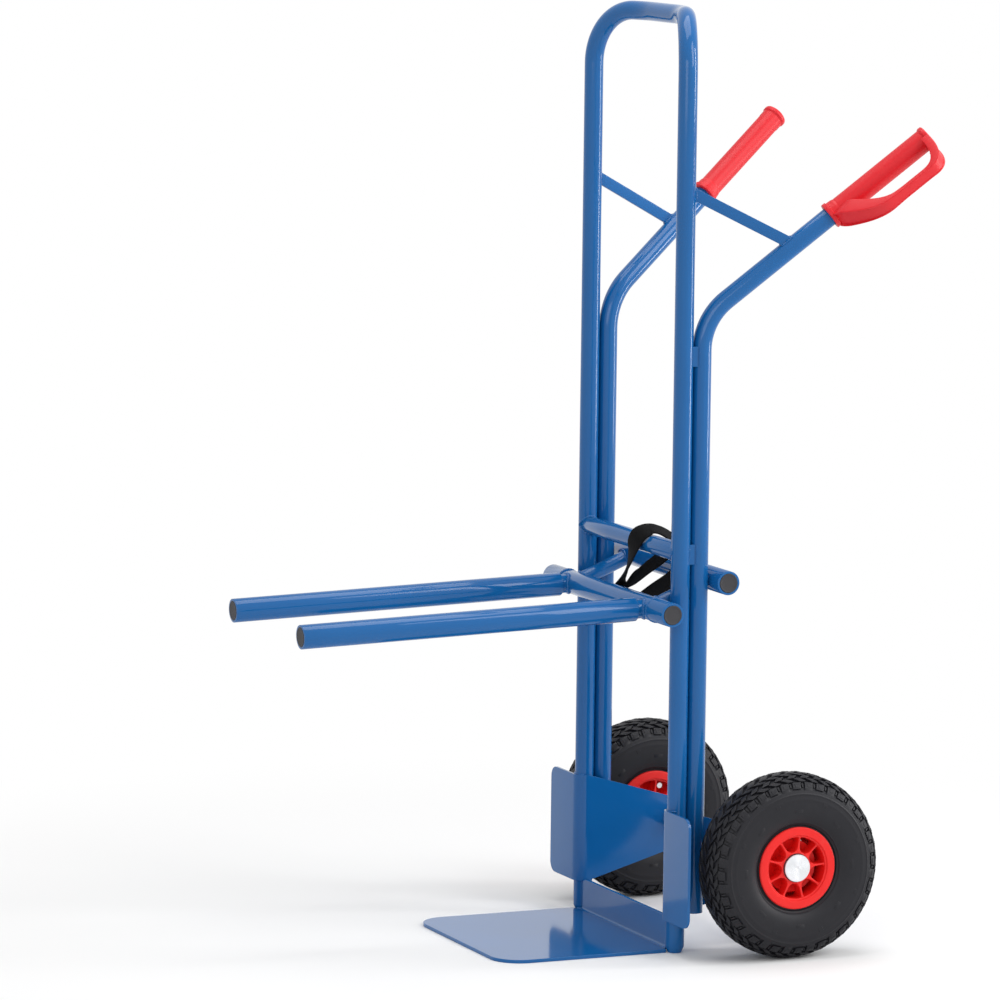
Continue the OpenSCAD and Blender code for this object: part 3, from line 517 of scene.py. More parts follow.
handle_end = on_handle(GRIP_START + GRIP_LEN - GRIP_END_WALL - 0.15)
handle_path = rounded_path([(UPRIGHT_X, HANDLE_Y, HANDLE_FOOT_Z), HANDLE_CORNER, handle_end], [HANDLE_BEND_R],
                           turn=2.0)
handle = open_tube(handle_path, TUBE_R, TUBE_WALL)
brace = flat_bar(BRACE_FROM + 9 * brace_way, BRACE_TO - 4 * brace_way, np.array([0, 0, 1.0]),
                 BRACE_W, BRACE_T, 0.8)
SPACER_WELD_AT = math.radians(38)
for label, side in SIDES:
    new_piece(f"handle_bend_{label}", *mirrored(*handle, side), "frame", "blue_paint",
              [f"handle_tube_{label}"])
    new_piece(f"brace_bar_{label}", *mirrored(*brace, side), "frame", "blue_paint", [f"brace_{label}"])

    beads = [weld(meet((0, UPRIGHT_Y, CROSSBAR_Z), (1, 0, 0), round_offsets((1, 0, 0), TUBE_R - 0.02),
                       (UPRIGHT_X, UPRIGHT_Y, 0), (0, 0, 1), TUBE_R), 1.7)]
    bar_up = unit(np.array([0, 0, 1.0]) - brace_way[2] * brace_way)
    bar_out = np.cross(brace_way, bar_up)
    for point, axis, near in ((BRACE_FROM, (0, 0, 1), False), (HANDLE_CORNER, HANDLE_WAY, True)):
        rim = [a * bar_up * BRACE_W / 2 + b * bar_out * BRACE_T / 2 for a, b in
               ((-1, -1), (-0.3, -1), (0.3, -1), (1, -1), (1, 1), (0.3, 1), (-0.3, 1), (-1, 1))]
        beads.append(weld(meet(BRACE_FROM, brace_way, rim, point, axis, TUBE_R, near), 1.9, phase=side))
    for z in (SPACER_LOW_Z, SPACER_HIGH_Z):
        for y, way in ((UPRIGHT_Y, 1), (HANDLE_Y, -1)):
            foot = [UPRIGHT_X + TUBE_R * math.cos(SPACER_WELD_AT),
                    y + way * TUBE_R * math.sin(SPACER_WELD_AT)]
            heights = (z + 1, z + SPACER_H / 2, z + SPACER_H - 1)
            beads.append(weld([(*foot, height) for height in heights], 0.9, False))
    new_piece(f"frame_welds_{label}", *mirrored(*join_meshes(*beads), side), "frame", "blue_paint")

# ---- toe plate and brackets ----


def sheet_piece(name, points, faces, thickness, edge, hides):
    """A folded sheet of the frame: the faces are one side of it, and the thickness lies behind them."""
    piece = new_piece(name, points, faces, "frame", "blue_paint", hides, sharp=30)
    solid = piece.modifiers.new("thickness", "SOLIDIFY")
    solid.thickness, solid.offset, solid.use_even_offset = thickness * MM, -1, True
    soft = piece.modifiers.new("edges", "BEVEL")
    soft.width, soft.segments, soft.limit_method, soft.angle_limit = edge * MM, 3, "ANGLE", math.radians(50)
    soft.harden_normals = True


def arc(cx, cy, r, start, stop, count):
    """Points of an arc from start to stop, in degrees."""
    angles = np.radians(np.linspace(start, stop, count + 1))
    return [(cx + r * math.cos(a), cy + r * math.sin(a)) for a in angles]


toe_half = UPRIGHT_X - TUBE_R - 0.6
heel_y, front_y = UPRIGHT_Y - TOE_HEEL, UPRIGHT_Y - TOE_LEN
notch_r = TUBE_R + 0.1
notch_from = math.degrees(math.asin(-math.sqrt(1 - (1.5 / notch_r) ** 2)))
notch_to = -180 - math.degrees(math.asin(-TOE_HEEL / notch_r))
notch = arc(UPRIGHT_X, UPRIGHT_Y, notch_r, notch_from, notch_to, 8)
right_edge = arc(TOE_W / 2 - TOE_CORNER_R, front_y + TOE_CORNER_R, TOE_CORNER_R, -90, 0, 16) + notch
outline = right_edge + [(toe_half, heel_y), (-toe_half, heel_y)] + [(-x, y) for x, y in reversed(right_edge)]
points = [(x, y, TOE_T) for x, y in outline]
faces = [tuple(range(len(points)))]
a, b = len(right_edge), len(right_edge) + 1
for t in np.radians(np.arange(15, 91, 15)):
    y, z = heel_y + TOE_BEND_R * math.sin(t), TOE_T + TOE_BEND_R * (1 - math.cos(t))
    points += [(toe_half, y, z), (-toe_half, y, z)]
    faces.append((b, a, len(points) - 2, len(points) - 1))
    a, b = len(points) - 2, len(points) - 1
step_x, step_z, face_y = toe_half + 0.4 - BRACKET_T, BRACKET_LOW - 0.1, heel_y + TOE_BEND_R
points += [(toe_half, face_y, step_z), (step_x, face_y, step_z), (step_x, face_y, TOE_UPSTAND),
           (-step_x, face_y, TOE_UPSTAND), (-step_x, face_y, step_z), (-toe_half, face_y, step_z)]
faces.append((b, a, *range(len(points) - 6, len(points))))
sheet_piece("toe_sheet", points, faces, TOE_T, 0.7, ["toe_plate"])

WRAP_R = TUBE_R + 0.1 + BRACKET_T
columns = [(x, UPRIGHT_Y - WRAP_R, z, BRACKET_LOW + BRACKET_HIGH - z)
           for x, z in arc(WING_X - WING_R, BRACKET_LOW + WING_R, WING_R, 0, -90, 8)]
columns += [(UPRIGHT_X + WRAP_R * math.cos(a), UPRIGHT_Y + WRAP_R * math.sin(a), BRACKET_LOW, BRACKET_HIGH)
            for a in np.radians(np.arange(-90, -181, -7.5))]
columns += [(UPRIGHT_X - WRAP_R, y, z, BACK_LOW + BACK_HIGH - z)
            for y, z in arc(BACK_Y - BACK_R, BACK_LOW + BACK_R, BACK_R, -80, 0, 6)]
points = [p for x, y, low, high in columns for p in ((x, y, low), (x, y, high))]
faces = [(2 * i, 2 * i + 1, 2 * i + 3, 2 * i + 2) for i in range(len(columns) - 1)]
for label, side in SIDES:
    sheet_piece(f"bracket_sheet_{label}", *mirrored(points, faces, side), BRACKET_T, 0.8,
                [f"axle_bracket_{label}"])
    beads = [weld([(UPRIGHT_X + TUBE_R * math.cos(a), UPRIGHT_Y + TUBE_R * math.sin(a), z) for a in
                   np.radians(np.arange(-60, 61, 10) - 90)], 1.4, False) for z in (BRACKET_HIGH, BRACKET_LOW)]
    for x in (UPRIGHT_X - WRAP_R - 0.1, UPRIGHT_X - TUBE_R + 0.1):
        beads.append(weld([(x, AXLE_Y + AXLE_TUBE_R * math.cos(a), AXLE_Z + AXLE_TUBE_R * math.sin(a))
                           for a in np.radians(np.arange(0, 360, 12))], 1.8))
    beads.append(weld([(UPRIGHT_X + TUBE_R * math.cos(a), UPRIGHT_Y + TUBE_R * math.sin(a), TOE_T) for a in
                       np.radians(np.arange(-100, -31, 8) - 90)], 1.6, False))
    new_piece(f"bracket_welds_{label}", *mirrored(*join_meshes(*beads), side), "frame", "blue_paint")

# ---- wheels and axle ----


def lathe(profile, count=96):
    """A closed profile of (radius, along X) points turned about the X axis."""
    n = len(profile)
    points = [(x, r * c, r * s) for c, s in circle(count) for r, x in profile]
    faces = [(i * n + j, i * n + (j + 1) % n, ((i + 1) % count) * n + (j + 1) % n, ((i + 1) % count) * n + j)
             for i in range(count) for j in range(n)]
    return np.array(points, float), faces


def rounded_profile(corners, radii):
    """A closed profile with its corners rounded. A radius of 0 keeps a corner."""
    corners = np.asarray(corners, float)
    n, out = len(corners), []
    for i, (c, r) in enumerate(zip(corners, radii)):
        if r == 0:
            out.append(c)
            continue
        a, b = unit(corners[i - 1] - c), unit(corners[(i + 1) % n] - c)
        half_angle = math.acos(np.clip(a @ b, -1, 1)) / 2
        reach = r / math.tan(half_angle)
        centre = c + unit(a + b) * (r / math.sin(half_angle))
        start, stop = c + a * reach - centre, c + b * reach - centre
        for k in np.linspace(0, 1, 5):
            out.append(centre + r * unit(start * (1 - k) + stop * k))
    return out


def on_wheel(points, faces, side):
    """A mesh about the middle of the left wheel, carried to the wheel of a side."""
    points, faces = mirrored(points, faces, side)
    return np.asarray(points) + [side * WHEEL_X, AXLE_Y, AXLE_Z], faces


def prism(outline, low, high, edge):
    """A prism along X from a (y, z) outline, with the edges of its high end rounded."""
    outline = np.asarray(outline, float)
    ahead, behind = np.roll(outline, -1, 0) - outline, outline - np.roll(outline, 1, 0)
    normal = np.stack([ahead[:, 1], -ahead[:, 0]], 1) / np.linalg.norm(ahead, axis=1)[:, None]
    before = np.stack([behind[:, 1], -behind[:, 0]], 1) / np.linalg.norm(behind, axis=1)[:, None]
    push = normal + before
    push /= np.maximum((push * normal).sum(1), 0.3)[:, None]
    rings = [(low, 0)] + [(high - edge * (1 - math.sin(a)), edge * (1 - math.cos(a)))
                          for a in np.radians([0, 30, 60, 90])]
    return loft([[(x, *(p - inset * d)) for p, d in zip(outline, push)] for x, inset in rings])


def spun(points, angle):
    """Turn about the X axis, from +Y towards +Z."""
    c, s = math.cos(angle), math.sin(angle)
    p = np.asarray(points, float)
    return np.stack([p[:, 0], p[:, 1] * c - p[:, 2] * s, p[:, 1] * s + p[:, 2] * c], 1)


TYRE_MID, TYRE_HALF_H, TYRE_HALF_W, TREAD = 91.625, 39.375, 39.5, 3.4
TREAD_SQUARENESS, WALL_SQUARENESS = 0.8, 0.77
WALL_RINGS = ((74, 0.7), (84, 0.35), (128, 0.6), (136, 0.4))


def tyre_skin(angle, depth):
    """Radius and distance along the axle of the tyre's section, a depth below its skin.

    The angle runs from the middle of the tread.
    """
    c, s = math.cos(angle), math.sin(angle)
    k = TREAD_SQUARENESS if c > 0.01 else WALL_SQUARENESS
    r = TYRE_MID + (TYRE_HALF_H - depth) * math.copysign(abs(c) ** k, c)
    x = (TYRE_HALF_W - depth) * math.copysign(abs(s) ** k, s)
    return r, x


def carcass():
    """The tyre without its blocks. Thin rings stand on the side walls."""
    profile = []
    for degrees in np.concatenate([np.arange(-146, -64, 2), np.arange(-64, 65, 8), np.arange(66, 147, 2)]):
        on_wall = min(max((abs(degrees) - 60) / 6, 0), 1)
        ridge = sum(height for at, height in WALL_RINGS if abs(abs(degrees) - at) < 1.5)
        profile.append(tyre_skin(math.radians(degrees), TREAD * (1 - on_wall) + 0.8 * on_wall - ridge))
    bead = 28.5
    inner = [(60.0, bead), (56.0, bead), (52.0, bead - 1), (52.0, -bead + 1), (56.0, -bead), (60.0, -bead)]
    return lathe(profile + inner, 144)


def tread_block(around, low, high, width, slant, height=TREAD, levels=4):
    """One block of the tread: it spans the section from angle low to high and leans round the wheel."""
    rings = []
    for k in np.linspace(0, 1, levels + 1):
        section_angle = math.radians(low + (high - low) * k)
        middle = around + slant * (k - 0.5)
        end = 0.35 if k in (0, 1) else 0.0
        ring = []
        for turn, lift in ((-0.5, -1.0), (-0.47, height - 0.5), (-0.42, height - 0.05), (0.42, height - 0.05),
                           (0.47, height - 0.5), (0.5, -1.0)):
            up = min(lift, height - end)
            r, x = tyre_skin(section_angle, TREAD - up)
            at = middle + turn * width
            ring.append((x, r * math.cos(at), r * math.sin(at)))
        rings.append(ring)
    points, faces = loft(rings)
    if high < low:
        faces = [tuple(reversed(f)) for f in faces]
    return points, faces


TREAD_PITCHES = 40
# Each row's shift round the wheel, its two edges in degrees, and its blocks' width and slant, in pitches.
TREAD_ROWS = ((0, -6.5, 6.5, 0.62, 0.50), (0.42, 8, 17.5, 0.56, -0.55), (0.1, 19.5, 29.5, 0.58, 0.35),
              (0.6, 31.5, 42, 0.56, -0.42))


def tread():
    """Staggered lozenges with raised squares, lugs on the shoulders, and small marks down the walls."""
    blocks, pitch = [], TAU / TREAD_PITCHES
    for i in range(TREAD_PITCHES):
        for shift, low, high, width, slant in TREAD_ROWS:
            for s in ((1,) if low < 0 else (-1, 1)):
                at = (i + shift + 0.2 * s * (low > 0)) * pitch
                blocks.append(tread_block(at, low * s, high * s, pitch * width, pitch * slant))
                if low > 0:
                    blocks.append(tread_block(at, (low + 3.4) * s, (high - 3.4) * s, pitch * width * 0.45,
                                              0.0, TREAD + 0.3, 3))
        for s in (-1, 1):
            at = (i + 0.2 * s) * pitch
            long = 66 if i % 2 else 61
            blocks.append(tread_block(at, 44 * s, long * s, pitch * 0.72, pitch * 0.1, TREAD - 0.4, 6))
            blocks.append(tread_block(at, 48 * s, 58 * s, pitch * 0.36, 0.0, TREAD + 0.1, 4))
            blocks.append(tread_block(at + 0.5 * pitch, 45 * s, 56 * s, pitch * 0.14, 0.0, TREAD - 1.6, 3))
            if i % 5 == 0:
                for ahead, low, high, width in ((0, 97, 103, 1.1), (2.2, 84, 90, 0.5)):
                    blocks.append(tread_block(at + ahead * pitch, low * s, high * s, pitch * width, 0.0,
                                              TREAD - 0.35, 3))
    return join_meshes(*blocks)


RIM_TURN, RIBS = math.radians(4), 9
HUB_R, HUB_HALF, WELL_R, BARREL_R, LIP_R, LIP_X = 22.5, 28.0, 43.5, 50.25, 58.25, 32.0
BORE_R, SEAT_R, SEAT_X = 13.0, 17.65, 17.0
FLOOR_X, OPEN_R, RIB_HALF_T = 11.0, 37.5, 1.3


def rim_half(floor_r):
    """One half of the plastic rim, from the middle of the wheel outward, with its floor out to floor_r."""
    ring = rounded_profile([(WELL_R, 0.1), (WELL_R, LIP_X - 2.2), (WELL_R + 2.2, LIP_X - 2.2),
                            (WELL_R + 3.2, LIP_X), (LIP_R, LIP_X), (LIP_R, LIP_X - 3.2),
                            (BARREL_R, LIP_X - 3.2), (BARREL_R, 0.1)],
                           [0, 1.2, 0.3, 0.6, 2.2, 0.8, 0.8, 0])
    hub = rounded_profile([(BORE_R, 0.1), (BORE_R, SEAT_X), (SEAT_R, SEAT_X), (SEAT_R, HUB_HALF),
                           (HUB_R, HUB_HALF), (HUB_R, 3)],
                          [0, 0, 0, 0.5, 1.0, 0])
    floor = [(floor_r, FLOOR_X - 4), (HUB_R - 1, 3), (HUB_R - 1, 6), (floor_r - 0.4, FLOOR_X - 1),
             (floor_r, FLOOR_X - 1.4)]
    parts = [lathe(ring), lathe(hub), lathe(floor)]
    t, start = RIB_HALF_T, HUB_R - 0.6
    rib = [(start, -4.6 * t), (start + 1.5, -3.2 * t), (start + 3.5, -2 * t), (start + 7, -1.25 * t),
           (start + 13, -t), (WELL_R - 2.5, -t), (WELL_R - 0.8, -1.7 * t), (WELL_R + 0.6, -3 * t)]
    rib += [(y, -z) for y, z in reversed(rib)]
    points, faces = prism(rib, 5, HUB_HALF, 0.8)
    parts += [(spun(points, RIM_TURN + i * TAU / RIBS), faces) for i in range(RIBS)]
    return join_meshes(*parts)


CAP_X, CAP_H, CAP_R, CAP_BORE_R = 29.5, 2.4, 19.4, 8.3


def hub_cap():
    """Flat cap with turned rings and a small centre mark."""
    start, top, r = CAP_X, CAP_X + CAP_H, CAP_R
    profile = [(CAP_BORE_R, start), (r - 0.5, start), (r, start + 0.4), (r, top - 0.6),
               (r - 0.25, top - 0.15), (r - 0.7, top)]
    face = np.linspace(r - 1.6, 3.0, 40)
    profile += [(q, top - 0.12 + 0.06 * math.cos(i * math.pi)) for i, q in enumerate(face)]
    profile += [(2.3, top - 0.3), (1.5, top - 0.8), (0.8, top - 1.0), (0.01, top - 1.05)]
    return lathe(profile + [(0.01, start + 1.2), (CAP_BORE_R, start + 1.2)])


wheel_parts = {"carcass": (carcass(), "tyre_rubber", "tyre"), "tread": (tread(), "tyre_rubber", None),
               "rim_outside": (rim_half(OPEN_R), "rim_plastic", "rim_outer"),
               "rim_inside": (mirrored(*rim_half(WELL_R + 1), -1), "rim_plastic", "rim_inner")}
for label, side in SIDES:
    for part, (shape, slot, node) in wheel_parts.items():
        hides = [f"{node}_{label}"] if node else []
        new_piece(f"{part}_{label}", *on_wheel(*shape, side), f"wheel_{label}", slot, hides, sharp=32)
    new_piece(f"cap_{label}", *on_wheel(*hub_cap(), side), "frame", "zinc_steel", [f"hub_cap_{label}"],
              sharp=25)
axle_path = [(x, AXLE_Y, AXLE_Z) for x in (-AXLE_TUBE_HALF, -70, 70, AXLE_TUBE_HALF)]
new_piece("axle_sleeve", *open_tube(axle_path, AXLE_TUBE_R, AXLE_TUBE_WALL), "frame", "blue_paint",
          ["axle_tube"])

# ---- grips ----

GRIP_R, FLANGE_R, FLANGE_T, COLLAR_R, COLLAR_LEN = 16.0, 18.0, 6.0, 18.0, 12.0
GUARD_REACH, GUARD_T, GUARD_W, GUARD_TURN = 61.0, 6.0, 19.0, math.radians(32)
GRIP_SIDES, GUARD_STEPS = 72, 90


def grip_body():
    """The hollow body about +Z from its collar, closed by a flange at the tip."""
    profile = rounded_profile(
        [(TUBE_R + 0.2, -3), (COLLAR_R + 1.3, -3), (COLLAR_R + 1.3, 3), (COLLAR_R - 0.5, 4),
         (COLLAR_R - 1, COLLAR_LEN), (GRIP_R, COLLAR_LEN + 3), (GRIP_R, GRIP_LEN - FLANGE_T - 2.5),
         (FLANGE_R, GRIP_LEN - FLANGE_T), (FLANGE_R, GRIP_LEN), (0.01, GRIP_LEN),
         (0.01, GRIP_LEN - 4), (TUBE_R + 0.2, GRIP_LEN - 4)],
        [0.5, 1.2, 1.0, 1.0, 1.2, 1.5, 2, 1, 2.2, 0, 0, 0])
    count, n = GRIP_SIDES, len(profile)
    points = [(r * c, r * s, z) for c, s in circle(count) for r, z in profile]
    faces = [(i * n + j, (i + 1) % count * n + j, (i + 1) % count * n + (j + 1) % n, i * n + (j + 1) % n)
             for i in range(count) for j in range(n)]
    return points, faces


def guard_curve(start, root, first, rise_len, last, bow_len, reach):
    """Out along a rise, straight, and back down a bow to the root: points along and out."""
    angles = np.radians(np.arange(0, 91, 5))
    rise_part = [(first + rise_len * a / (math.pi / 2), start + (reach - start) * math.sin(a))
                 for a in angles]
    bow_part = [(last - bow_len + bow_len * math.sin(a) ** 0.75, root + (reach - root) * math.cos(a) ** 0.75)
                for a in angles]
    return rise_part + bow_part


def finger_guard():
    """The guard towards +Y: a band between two curves, which widens at its root and its tip."""
    root, steps = GRIP_R - 4, GUARD_STEPS
    outer = guard_curve(COLLAR_R - 2, root, 0.5, 72, GRIP_LEN - 0.5, 30, GUARD_REACH)
    inner = guard_curve(root, root, 30, 57, GRIP_LEN - 13, 28, GUARD_REACH - GUARD_T)
    outer, inner = even_curve([(0.5, root)] + outer, steps), even_curve([(24, root - 3)] + inner, steps)
    rings = []
    for i, (o, k) in enumerate(zip(outer, inner)):
        at_root, at_tip = max(0.0, 1 - i / 44), max(0.0, (i - 60) / (steps - 61))
        corner = 1 - 0.35 * max(0.0, 1 - i / 8) ** 2
        half_width = (GUARD_W / 2 + 7.8 * at_root ** 1.2 + 7.0 * at_tip ** 1.5) * corner
        section = [(0.10, 0), (0.10, half_width - 2.6), (0.0, half_width - 2.0), (0.0, half_width - 0.7),
                   (0.04, half_width - 0.2), (0.12, half_width), (0.88, half_width), (0.96, half_width - 0.2),
                   (1.0, half_width - 0.8), (1.0, half_width - 2.2), (0.90, half_width - 2.8), (0.90, 0)]
        side = [(o + (k - o) * depth, w) for depth, w in section]
        rings.append([(w, p[1], p[0]) for p, w in side] + [(-w, p[1], p[0]) for p, w in reversed(side[1:-1])])
    return loft(rings)


grip_points, grip_faces = join_meshes(grip_body(), finger_guard())
splay_turn = Matrix.Rotation(-splay, 4, "Z") @ Matrix.Rotation(-(math.pi / 2 - rise), 4, "X")
grip_turn = np.array(splay_turn.to_3x3() @ Matrix.Rotation(GUARD_TURN - math.pi / 2, 3, "Z"))
grip_points = grip_points @ grip_turn.T + on_handle(GRIP_START)
for label, side in SIDES:
    new_piece(f"grip_skin_{label}", *mirrored(grip_points, grip_faces, side), "frame", "grip_plastic",
              [f"grip_{label}"], sharp=38)

# ---- fork ----

droop = math.radians(ARM_DROOP)
ARM_WAY = np.array([0, -math.cos(droop), -math.sin(droop)])
arm_root = np.array([ARM_X, FRONT_BAR_Y, FORK_Z])
link_from, link_to = arm_root, np.array([ARM_X, REAR_BAR_Y, FORK_TOP_Z])
link_way = unit(link_to - link_from)


def plug(place, way):
    """End plug: a shank and a low dished head with a rounded edge, facing along way."""
    way = unit(way)
    u, v = round_offsets(way, 1.0, 4)[:2]
    rings = [(STUB_R, -12), (STUB_R, 0), (STUB_R - 0.1, 0.3), (STUB_R - 0.5, 0.55), (STUB_R - 1.2, 0.6),
             (STUB_R - 2.0, 0.3), (STUB_R - 3.0, 0.15), (STUB_R * 0.5, 0.15), (0.3, 0.15)]
    return loft([[place + h * way + r * (c * u + s * v) for c, s in circle(48)] for r, h in rings])


def bar(half, y, z):
    """A cross tube of the fork, which leaves room for the heads of its end plugs."""
    reach = half - PLUG_T
    return open_tube([(x, y, z) for x in (-reach, -60, 60, reach)], BAR_R, BAR_WALL)


new_piece("front_bar", *bar(FRONT_HALF, FRONT_BAR_Y, FORK_Z), "fork", "blue_paint", ["fork_front_bar"])
new_piece("rear_bar", *bar(REAR_HALF, REAR_BAR_Y, FORK_TOP_Z), "fork", "blue_paint", ["fork_rear_bar"])
link = open_tube([link_from, (link_from + link_to) / 2, link_to], LINK_R, BAR_WALL)
start, end = BAR_R + ARM_STEP, BAR_R + ARM_STEP + ARM_LEN - PLUG_T
stub = open_tube([arm_root + k * ARM_WAY for k in (0, 40, start + 60)], STUB_R, BAR_WALL)
arm = open_tube([arm_root + k * ARM_WAY for k in (start, start + 150, end - 150, end)], BAR_R, BAR_WALL)
link_round, cross = round_offsets(link_way, LINK_R), (1, 0, 0)
fork_beads = join_meshes(
    weld(meet(arm_root, ARM_WAY, round_offsets(ARM_WAY, STUB_R), arm_root, cross, BAR_R, False), 2.2),
    weld(meet(arm_root, link_way, link_round, arm_root, cross, BAR_R, False), 2.2),
    weld(meet(link_to, -link_way, link_round, link_to, cross, BAR_R, False), 2.0),
    weld([arm_root + (start - 0.3) * ARM_WAY + o for o in round_offsets(ARM_WAY, STUB_R + 0.6, 36)], 1.6),
    weld([(RING_WELD_X, FRONT_BAR_Y, FORK_Z) + o for o in round_offsets(cross, BAR_R - 0.2, 40)], 1.5))
plugs, arm_plugs = [], []
for label, side in SIDES:
    new_piece(f"link_{label}", *mirrored(*link, side), "fork", "blue_paint", [f"fork_link_{label}"])
    new_piece(f"stub_{label}", *mirrored(*stub, side), "fork", "blue_paint", [f"fork_stub_{label}"])
    new_piece(f"arm_{label}", *mirrored(*arm, side), "fork", "blue_paint", [f"fork_arm_{label}"])
    new_piece(f"fork_welds_{label}", *mirrored(*fork_beads, side), "fork", "blue_paint")
    bar_plugs = [plug(np.array([FRONT_HALF - PLUG_T, FRONT_BAR_Y, FORK_Z]), (1, 0, 0)),
                 plug(np.array([REAR_HALF - PLUG_T, REAR_BAR_Y, FORK_TOP_Z]), (1, 0, 0))]
    plugs.append(mirrored(*join_meshes(*bar_plugs), side))
    arm_plugs.append(mirrored(*plug(arm_root + end * ARM_WAY, ARM_WAY), side))
new_piece("arm_plugs", *join_meshes(*arm_plugs), "fork", "black_plastic", ["fork_arm_plugs"])
new_piece("bar_plugs", *join_meshes(*plugs), "fork", "black_plastic", ["fork_bar_plugs"])

# ---- strap ----

BAND_W, BAND_T = 25.0, 2.5
KEEPER_AT = np.array([66, 28, -9.8])
KEEPER_ALONG, KEEPER_ACROSS = unit([0.72, 0.38, 0.58]), unit([0.686, -0.263, -0.679])
KEEPER_OUT = np.cross(KEEPER_ALONG, KEEPER_ACROSS)
PLY = BAND_T + 0.3


def in_keeper(along, out):
    """A point of the band's route within its keeper."""
    return (KEEPER_AT + along * KEEPER_ALONG + out * KEEPER_OUT, KEEPER_ACROSS)


# Middle line of the band from the crossbar's centre, each point with the way the width lies.
LOOP_ROUTE = [
    ((75.6, 26, 9.2), (0.8, -0.5, -0.33)), ((70.2, 15, 17), (0.84, -0.45, -0.32)),
    ((66.1, 6, 20.8), (0.83, -0.45, -0.32)), ((62.1, -3, 21.3), (0.87, -0.11, -0.49)),
    ((62.4, -12.4, 18.6), (0.79, 0.17, -0.59)), ((59.2, -20.2, 12), (0.67, 0.42, -0.61)),
    ((51.9, -23.5, -0.5), (0.8, 0.29, -0.52)), ((42.1, -23, -15.3), (0.73, -0.08, -0.68)),
    ((25.3, -19, -29.8), (0.54, -0.31, -0.78)), ((8.6, -14, -41.5), (0.42, -0.5, -0.72)),
    ((-22.8, -6, -57.6), (0.3, -0.75, -0.55)), ((-45.8, -0.5, -71), (0.14, -0.87, -0.47)),
    ((-44.7, 3, -76.8), (0.2, -0.85, -0.5)), ((-23.9, 2, -67.4), (0.3, -0.62, -0.7)),
    ((-2.1, 0.5, -58.4), (0.45, -0.45, -0.74)), ((21.8, -2, -50.2), (0.57, -0.38, -0.73)),
    ((33.8, 4, -40.1), (0.75, -0.25, -0.61)), ((40.3, 11, -32.5), (0.82, -0.16, -0.55)),
    ((46.5, 18, -25.2), (0.73, -0.2, -0.66)), in_keeper(-10, 0), in_keeper(-7, 0), in_keeper(7, 0),
    ((75, 32, 0), (0.7, -0.36, -0.62)), ((76.8, 30.6, 5.2), (0.76, -0.47, -0.44))]
TAIL_ROUTE = [
    in_keeper(-7, PLY), in_keeper(7, PLY), ((74.1, 37.1, -5.2), (0.69, -0.3, -0.66)),
    ((79.5, 41.2, -6.5), (0.72, -0.5, -0.45)), ((84, 43, -12), (0.8, -0.5, -0.1)),
    ((86, 41, -21), (0.88, -0.3, 0.1)), ((85, 36.5, -31), (0.93, 0, 0.05)),
    ((81.5, 31.5, -40), (0.9, 0.2, -0.3)), ((77.8, 27.9, -46.4), (0.75, 0.25, -0.55)),
    ((72.8, 24, -52.7), (0.6, 0.22, -0.77)), ((61, 19, -60.5), (0.51, 0.12, -0.85)),
    ((47, 14, -69.4), (0.51, 0.14, -0.85)), ((32.8, 9, -78.9), (0.53, 0.13, -0.84)),
    ((20.3, 4, -88), (0.55, 0.09, -0.83)), ((5.5, 0, -97.7), (0.54, 0.04, -0.84))]


ROUTE_STEPS = 6


def smooth_route(route, closed):
    """A rounded curve through the points of a route, with the width directions carried along."""
    points = np.array([p for p, _ in route], float)
    widths = np.array([unit(w) for _, w in route])
    n, out_p, out_w = len(route), [], []
    for i in range(n if closed else n - 1):
        pick = [(i - 1 + k) % n if closed else min(max(i - 1 + k, 0), n - 1) for k in range(4)]
        for t in np.arange(ROUTE_STEPS) / ROUTE_STEPS:
            basis = np.array([-t + 2 * t ** 2 - t ** 3, 2 - 5 * t ** 2 + 3 * t ** 3,
                              t + 4 * t ** 2 - 3 * t ** 3, t ** 3 - t ** 2]) / 2
            out_p.append(basis @ points[pick])
            out_w.append(basis @ widths[pick])
    if not closed:
        out_p.append(points[-1])
        out_w.append(widths[-1])
    return np.array(out_p), np.array(out_w)


def band(route, closed):
    """Webbing with rounded selvedges, and its length and width as texture coordinates."""
    path, widths = smooth_route(route, closed)
    if closed:
        path, widths = np.vstack([path, path[:1]]), np.vstack([widths, widths[:1]])
        heading = np.roll(path[:-1], -1, 0) - np.roll(path[:-1], 1, 0)
        heading = np.vstack([heading, heading[:1]])
    else:
        heading = np.gradient(path, axis=0)
    half, t = BAND_W / 2, BAND_T / 2
    flat = [half - 0.9, half * 0.5, 0, -half * 0.5, -half + 0.9]
    section = [(a, t) for a in flat] + [(-half + 0.2, t * 0.6), (-half, 0), (-half + 0.2, -t * 0.6)] + \
              [(a, -t) for a in reversed(flat)] + [(half - 0.2, -t * 0.6), (half, 0), (half - 0.2, t * 0.6)]
    rings, uvs = [], []
    for p, w, h, length in zip(path, widths, heading, lengths_along(path)):
        h = unit(h)
        w = unit(w - (w @ h) * h)
        n = np.cross(h, w)
        rings.append([p + a * w + b * n for a, b in section])
        uvs += [(length * MM, a / BAND_W + 0.5) for a, _ in section]
    points, faces = loft(rings)
    return points + [0, UPRIGHT_Y, CROSSBAR_Z], faces, uvs


for part, route, closed in (("strap_loop", LOOP_ROUTE, True), ("strap_tail", TAIL_ROUTE, False)):
    points, faces, uvs = band(route, closed)
    new_piece(part, points, faces, "frame", "webbing", ["strap"], sharp=60, uvs=uvs)


def keeper_ring(width, height, corner, along):
    """One ring of the keeper's wall, at a distance along the band."""
    return [KEEPER_AT + PLY / 2 * KEEPER_OUT + a * KEEPER_ACROSS + b * KEEPER_OUT + along * KEEPER_ALONG +
            [0, UPRIGHT_Y, CROSSBAR_Z] for a, b in rounded_rectangle(width, height, corner, 15)]


